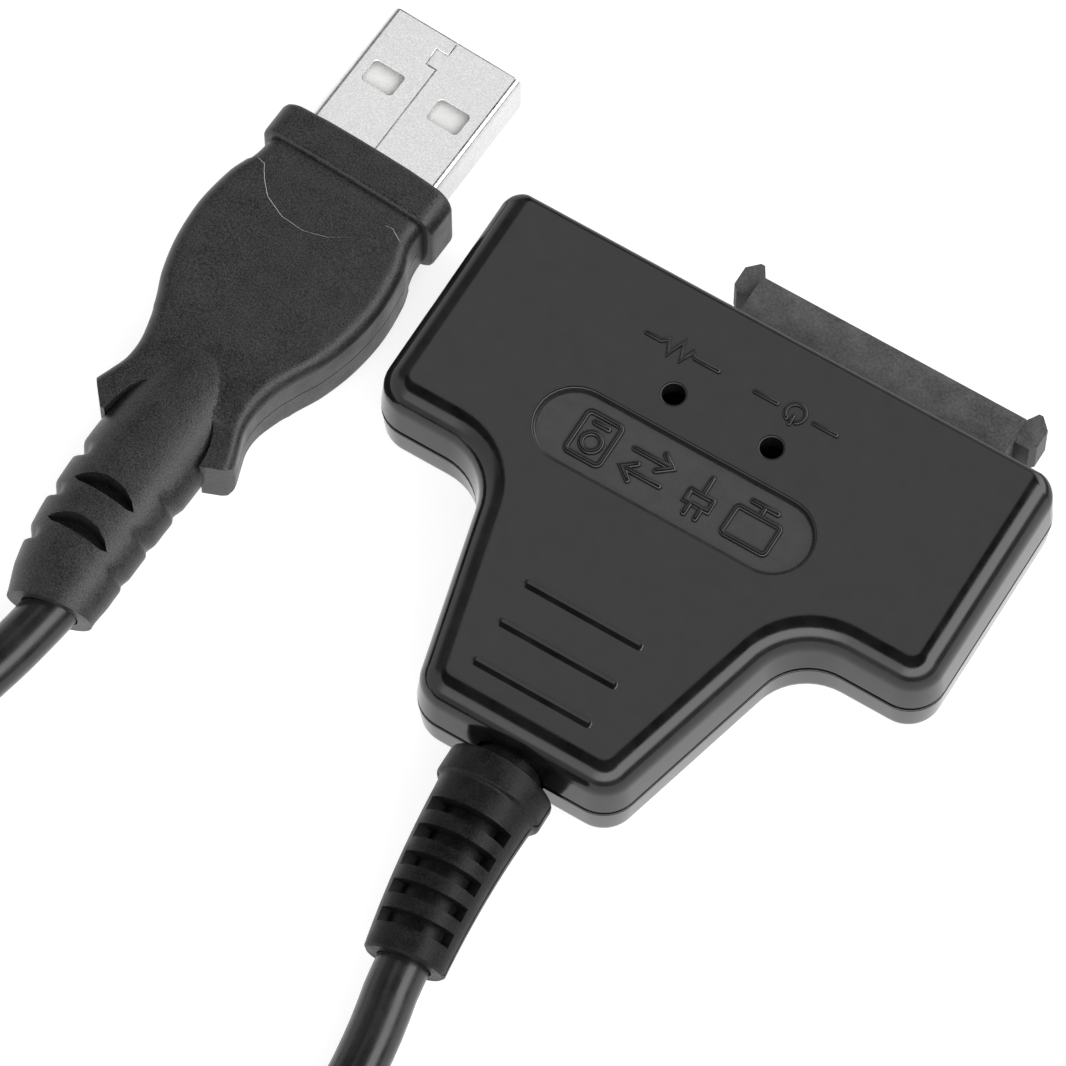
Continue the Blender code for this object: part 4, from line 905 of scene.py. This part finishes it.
def smooth_route(points, spacing):
    """Points at an even spacing on a smooth curve through the given points."""
    ends = [2 * Vector(points[0]) - Vector(points[1]), 2 * Vector(points[-1]) - Vector(points[-2])]
    knots = [ends[0]] + [Vector(point) for point in points] + [ends[1]]
    fine = []
    for index in range(1, len(knots) - 2):
        around = knots[index - 1 : index + 3]
        for piece in range(24):
            fine.append(smooth_value(*around, piece / 24))
    fine.append(knots[-2])
    lengths = [0.0]
    for before, after in zip(fine, fine[1:]):
        lengths.append(lengths[-1] + (after - before).length)
    count = round(lengths[-1] / spacing)
    even, found = [], 0
    for step in range(count + 1):
        wanted = lengths[-1] * step / count
        while found < len(fine) - 2 and lengths[found + 1] < wanted:
            found += 1
        share = (wanted - lengths[found]) / (lengths[found + 1] - lengths[found])
        even.append(fine[found].lerp(fine[found + 1], min(max(share, 0.0), 1.0)))
    return even


def make_cord(finish):
    relief_end = relief_middle(RELIEF_LENGTH)
    boot_end = PLUG_MATRIX @ boot_middle(BOOT_OUTLINE[-1][0])
    points = [relief_end - relief_along(RELIEF_LENGTH) * CORD_ENTRY, relief_end]
    points += [Vector(point) for point in HEAD_ROUTE]
    points += [coil_point(turned) for turned in range(-10, 891, 15)]
    points += [Vector(point) for point in CROSSING_ROUTE + PLUG_ROUTE]
    points += [boot_end, boot_end - PLUG_MATRIX.to_3x3() @ PLUG_CORD_WAY * CORD_ENTRY]
    line = smooth_route(points, 0.0015)
    curve = bpy.data.curves.new("cord", "CURVE")
    curve.dimensions = "3D"
    curve.bevel_depth = CORD_RADIUS
    curve.bevel_resolution = 8
    curve.use_fill_caps = True
    spline = curve.splines.new("POLY")
    spline.points.add(len(line) - 1)
    for target, point in zip(spline.points, line):
        target.co = (*point, 1.0)
    spline.use_smooth = True
    curve.materials.append(finish)
    length = sum((after - before).length for before, after in zip(line, line[1:]))
    return add_object("cord", curve), line[0], length


# Plug


def boot_middle(back):
    """Point on the boot's middle line, at a distance back from the collar's front."""
    share = max(0.0, (back - BOOT_BEND_FROM) / (BOOT_OUTLINE[-1][0] - BOOT_BEND_FROM))
    return Vector((BOOT_SHIFT + BOOT_SWAY * share**3, -back, -BOOT_SAG * share**2))


def boot_along(back):
    step = 0.0001
    return (boot_middle(back) - boot_middle(back - step)).normalized()


def between(table, back):
    """Values of a table whose first column is a distance, read smoothly between its rows."""
    rows = [table[0]] + list(table) + [table[-1]]
    for index in range(1, len(rows) - 2):
        low, high = rows[index], rows[index + 1]
        if back <= high[0] or index == len(rows) - 3:
            t = (back - low[0]) / (high[0] - low[0])
            values = []
            for column in range(1, len(low)):
                values.append(smooth_value(*(rows[index + shift][column] for shift in (-1, 0, 1, 2)), t))
            return values
    return list(table[-1][1:])


def section(half_width, half_height, edge, back, steps=6, crown=0.0):
    """A closed section with round corners that faces along Y, with a slightly crowned top and bottom."""
    corners = (
        (half_width, -half_height, edge),
        (half_width, half_height, edge),
        (-half_width, half_height, edge),
        (-half_width, -half_height, edge),
    )
    outline = level_outline(corners, 0.0, 0.0, steps)
    points = []
    for index, (x, z, _) in enumerate(outline):
        points.append((x, -back, z))
        after = outline[(index + 1) % len(outline)]
        if abs(after[0] - x) > half_width:
            for share in (0.2, 0.4, 0.6, 0.8):
                across = x + (after[0] - x) * share
                bulge = crown * (1 - (across / (half_width - edge)) ** 2)
                points.append((across, -back, z + math.copysign(bulge, z)))
    return points


def notch_depth(back):
    """Depth of the boot's side notches: a slow slope in and a quick one out."""
    for first, deepest, last, depth in BOOT_NOTCHES:
        if first < back < last:
            share = (back - first) / (deepest - first) if back < deepest else (last - back) / (last - deepest)
            return depth * ease(share)
    return 0.0


def boot_ring(back):
    sides = 72
    half = between(BOOT_OUTLINE, back)
    middle = boot_middle(back)
    ring = []
    for index, point in enumerate(axis_ring(middle, boot_along(back), *half, sides)):
        angle = 2 * math.pi * index / sides
        share = 0.9 if math.cos(angle) > 0 else 0.35
        depth = share * notch_depth(back) * ease((0.78 - abs(math.sin(angle))) / 0.3)
        ring.append(middle + (point - middle) * (1 - depth / half[0]))
    return ring


def collar_row(back, shrink):
    row = []
    front = 1 - back / COLLAR_LENGTH
    half = (COLLAR_HALF[0] - shrink, COLLAR_HALF[1] - COLLAR_CROWN - shrink)
    for x, y, z in section(*half, COLLAR_CORNER - shrink, back, 8, COLLAR_CROWN):
        row.append((x, y - COLLAR_ARCH * front * abs(x / COLLAR_HALF[0]) ** 4, z))
    return row


def grip_body(name, last, count, shrink):
    """The grip from its front to a distance back, smaller all round by a given size."""
    rows = []
    first = GRIP_OUTLINE[0][0]
    for step in range(count + 1):
        back = first + (last - first) * step / count
        half_width, half_height = between(GRIP_OUTLINE, back)
        edge = min(GRIP_EDGE, half_height * 0.4)
        rows.append(section(half_width - shrink, half_height - shrink, edge, back, 8, GRIP_CROWN))
    return solid(name, rows)


def make_grip():
    """The grip behind the line across it, with its two wings."""
    grip = grip_body("grip", GRIP_OUTLINE[-1][0], 70, 0.0)
    low, high, beyond = GRIP_HALF_HEIGHT - GRIP_STEP, GRIP_HALF_HEIGHT + GRIP_CROWN, 0.006
    rows = []
    for z, shift in ((-beyond, 1), (-high, 1), (-low, 0), (low, 0), (high, 1), (beyond, 1)):
        outline = [(x, y - shift * GRIP_STEP_SLOPE) for x, y in ARC] + [(0.012, -0.001), (-0.012, -0.001)]
        rows.append([(x, y, z) for x, y in outline])
    room = [(BOOT_SHIFT - half, -back) for back, half in WING_ROOM]
    room += [(BOOT_SHIFT + half, -back) for back, half in reversed(WING_ROOM)]
    removed = [solid("arc_front", rows), prism("wing_gap", room, -beyond, beyond)]
    cut(grip, removed + [prism("wing_end", outline, -beyond, beyond) for outline in WING_ENDS])
    return grip


def make_overmould(finish, highlight_finish):
    soft = 0.00045
    edge = [(soft * share, soft * drop) for share, drop in ROUND_EDGE]
    rows = [collar_row(back, shrink) for back, shrink in edge]
    rows += [collar_row(COLLAR_LENGTH - back, shrink) for back, shrink in reversed(edge)]
    overmould = solid("plug_grip", rows, finish)
    # The second finish is the lighter grey that paints a highlight on the step along ARC
    overmould.data.materials.append(highlight_finish)

    grip = make_grip()
    count = 190
    first, last = BOOT_OUTLINE[0][0], BOOT_OUTLINE[-1][0]
    boot = solid("boot", [boot_ring(first + (last - first) * step / count) for step in range(count + 1)])
    joined = (grip, grip_body("front_of_grip", 0.0115, 24, GRIP_STEP), boot)

    removed = []
    for place in BOOT_SLOT_PLACES:
        outline = [(x + place[0], y + place[1]) for x, y in BOOT_SLOT]
        for side in (-1, 1):
            removed.append(prism("boot_slot", outline, *sorted((side * BOOT_SLOT_FLOOR, side * 0.006))))
    end = boot_middle(last)
    places = (end - PLUG_CORD_WAY * (CORD_ENTRY + GAP), end + PLUG_CORD_WAY * CORD_ENTRY)
    rings = [axis_ring(place, PLUG_CORD_WAY, CORD_BORE_RADIUS, CORD_BORE_RADIUS, 32) for place in places]
    removed.append(solid("boot_bore", rings))
    pocket = bmesh.new()
    half = [size + SHELL_PLAY for size in SHELL_HALF]
    box(pocket, (-half[0], SHELL_POCKET_END, -half[1]), (half[0], BEYOND, half[1]))
    removed.append(as_object("shell_pocket", pocket))
    for side in (-1, 1):
        rows = []
        for step in range(61):
            back = LINE_FROM + (LINE_TO - LINE_FROM) * step / 60
            inner = between(GRIP_OUTLINE, back)[0] - LINE_DEPTH
            corners = ((inner, -LINE_HALF), (0.012, -LINE_HALF), (0.012, LINE_HALF), (inner, LINE_HALF))
            rows.append([(side * x, -back, z) for x, z in corners])
        removed.append(solid("mould_line", rows))
    cut(overmould, removed, joined)
    # Painted highlight: a lighter grey finish on the sloped faces of the step along ARC, in place of the
    # light line that the step catches
    for face in overmould.data.polygons:
        place, facing = face.center, face.normal
        near_arc = abs(place.x) < 0.0071 and -0.0095 < place.y < -0.0044 and abs(place.z) > 0.0033
        face.material_index = int(near_arc and facing.y > 0.3 and 0.3 < abs(facing.z) < 0.97)
    overmould.data.transform(PLUG_MATRIX)
    soften(overmould, 0.0001, 2, 38)
    return overmould


def make_plug_shell(finish):
    bm = bmesh.new()
    rows = []
    tip = SHELL_EXPOSED
    for inset, back in (
        (SHELL_SHEET, SHELL_INSIDE),
        (SHELL_SHEET, -tip + 0.0002),
        (SHELL_SHEET * 0.7, -tip + 0.00002),
        (0.00015, -tip),
        (0.00004, -tip + 0.00006),
        (0.0, -tip + 0.0002),
        (0.0, SHELL_INSIDE),
    ):
        rows.append(section(SHELL_HALF[0] - inset, SHELL_HALF[1] - inset, SHELL_CORNER - inset, back, 6))
    rows_between(bm, rows, closed=True)
    shell = as_object("plug_steel_shell", bm, finish)

    windows = bmesh.new()
    signs = ((1, -1), (1, 1), (-1, 1), (-1, -1))
    corners = [(x * WINDOW_HALF[0], y * WINDOW_HALF[1], WINDOW_CORNER) for x, y in signs]
    outline = level_outline(corners, 0.0, 0.0, 6)
    for side in (-1, 1):
        for z in (-SHELL_HALF[1], SHELL_HALF[1]):
            ring = [(side * WINDOW_PLACE[0] + x, WINDOW_PLACE[1] + y) for x, y, _ in outline]
            heights = (z - 2 * SHELL_SHEET, z + 2 * SHELL_SHEET)
            loft(windows, [[(x, y, height) for x, y in ring] for height in heights])
    outline = offset_path(SEAM, SEAM_HALF) + offset_path(SEAM, -SEAM_HALF)[::-1]
    seam = prism("seam", outline, SHELL_HALF[1] - SEAM_DEPTH, SHELL_HALF[1] + 0.0005)
    cut(shell, [as_object("windows", windows), seam])
    shell.data.transform(PLUG_MATRIX)
    soften(shell, 0.00003, 1, 50)
    return shell


def offset_path(path, distance):
    """A flat path moved sideways, with its corners kept square."""
    moved = []
    for index, point in enumerate(path):
        point = Vector(point)
        ways = []
        if index:
            ways.append((point - Vector(path[index - 1])).normalized())
        if index < len(path) - 1:
            ways.append((Vector(path[index + 1]) - point).normalized())
        along = sum(ways, Vector((0, 0))).normalized()
        normal = Vector((-along.y, along.x))
        moved.append(tuple(point + normal * distance / max(along.dot(ways[0]), 0.3)))
    return moved


# Scene


def dress_nodes(finishes):
    for part in frame["record"]["subparts"]:
        mesh = frame["nodes"][part["node"]].data
        mesh.materials.clear()
        mesh.materials.append(finishes[part["material_slot"]])


def make_stage():
    mesh = bpy.data.meshes.new("floor")
    reach = FLOOR_REACH
    corners = [(-reach, -reach, 0), (reach, -reach, 0), (reach, reach, 0), (-reach, reach, 0)]
    mesh.from_pydata(corners, [], [(0, 1, 2, 3)])
    made, shader, _ = new_material("floor_white", (FLOOR_GREY,) * 3, 0.9)
    shader.inputs["Specular IOR Level"].default_value = 0.0
    shader.inputs["Emission Color"].default_value = (1, 1, 1, 1)
    shader.inputs["Emission Strength"].default_value = FLOOR_GLOW
    mesh.materials.append(made)
    floor = add_object("floor", mesh)


def direction(azimuth, elevation):
    """Unit vector; the azimuth turns from -Y towards +X."""
    azimuth, elevation = math.radians(azimuth), math.radians(elevation)
    level = math.cos(elevation)
    return (math.sin(azimuth) * level, -math.cos(azimuth) * level, math.sin(elevation))


def make_world():
    """A white studio: a dark ceiling with box lights, dark screens, and a long light on the near right."""
    world = bpy.data.worlds.new("studio")
    bpy.context.scene.world = world
    world.use_nodes = True
    tree = world.node_tree
    way = tree.nodes.new("ShaderNodeTexCoord").outputs["Generated"]

    def calculate(operation, first, second):
        made = tree.nodes.new("ShaderNodeMath")
        made.operation = operation
        for socket, value in zip(made.inputs, (first, second)):
            if isinstance(value, (int, float)):
                socket.default_value = value
            else:
                tree.links.new(value, socket)
        return made.outputs["Value"]

    def towards(aim):
        made = tree.nodes.new("ShaderNodeVectorMath")
        made.operation = "DOT_PRODUCT"
        tree.links.new(way, made.inputs[0])
        made.inputs[1].default_value = aim
        return made.outputs["Value"]

    def step(value, start, end, low, high):
        made = tree.nodes.new("ShaderNodeMapRange")
        made.interpolation_type = "SMOOTHSTEP"
        set_range(made, start, end, low, high)
        tree.links.new(value, made.inputs["Value"])
        return made.outputs["Result"]

    def cone(aim, inner, outer, low, high):
        limits = (math.cos(math.radians(outer)), math.cos(math.radians(inner)))
        return step(towards(direction(*aim)), *limits, low, high)

    near_side = step(towards(direction(LONG_LIGHT_AZIMUTH, 0)), -0.5, 0.5, 0.0, 1.0)
    levels = [level - 1 for level in LONG_LIGHT_LEVELS]
    long_light = step(towards((0, 0, 1)), *LONG_LIGHT_RISE, *levels)
    total = calculate("ADD", calculate("MULTIPLY", near_side, long_light), 1.0)
    for aim, inner, outer, level in SCREENS:
        total = calculate("MULTIPLY", total, cone(aim, inner, outer, 1.0, level))
    for aim, inner, outer, level in BOX_LIGHTS:
        total = calculate("MAXIMUM", total, cone(aim, inner, outer, 0.0, level))
    background = tree.nodes["Background"]
    tree.links.new(total, background.inputs["Strength"])
    background.inputs["Color"].default_value = (1, 1, 1, 1)


def make_camera():
    back = Vector(direction(*CAMERA_DIRECTION))
    data = bpy.data.cameras.new("camera")
    data.lens = CAMERA_LENS
    data.clip_start = 0.01
    camera = add_object("camera", data)
    camera.location = CAMERA_AIM + back * CAMERA_DISTANCE
    camera.rotation_euler = (-back).to_track_quat("-Z", "Y").to_euler()
    bpy.context.scene.camera = camera


def main():
    finishes = make_finishes()
    bpy.context.scene.view_settings.view_transform = "Standard"
    make_camera()
    make_world()
    make_stage()
    dress_nodes(finishes)

    cord, exit_point, length = make_cord(finishes["cord_jacket"])
    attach(cord, "root")
    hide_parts("cable_from_head", "cable_coil", "cable_to_plug")

    housing, plug = finishes["housing_plastic"], finishes["plug_rubber"]
    pieces = (
        (make_upper_shell(housing, finishes["recess_plastic"]), "upper_shell", "housing_plastic"),
        (make_lower_shell(housing), "lower_shell", "housing_plastic"),
        (make_relief(finishes["relief_rubber"]), "head_strain_relief", "relief_rubber"),
        (make_overmould(plug, finishes["plug_painted_highlight"]), "plug_overmould", "plug_rubber"),
        (make_plug_shell(finishes["shell_steel"]), "plug_shell", "shell_steel"),
    )
    for piece, node, slot in pieces:
        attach(piece, "root")
        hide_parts(node)


main()
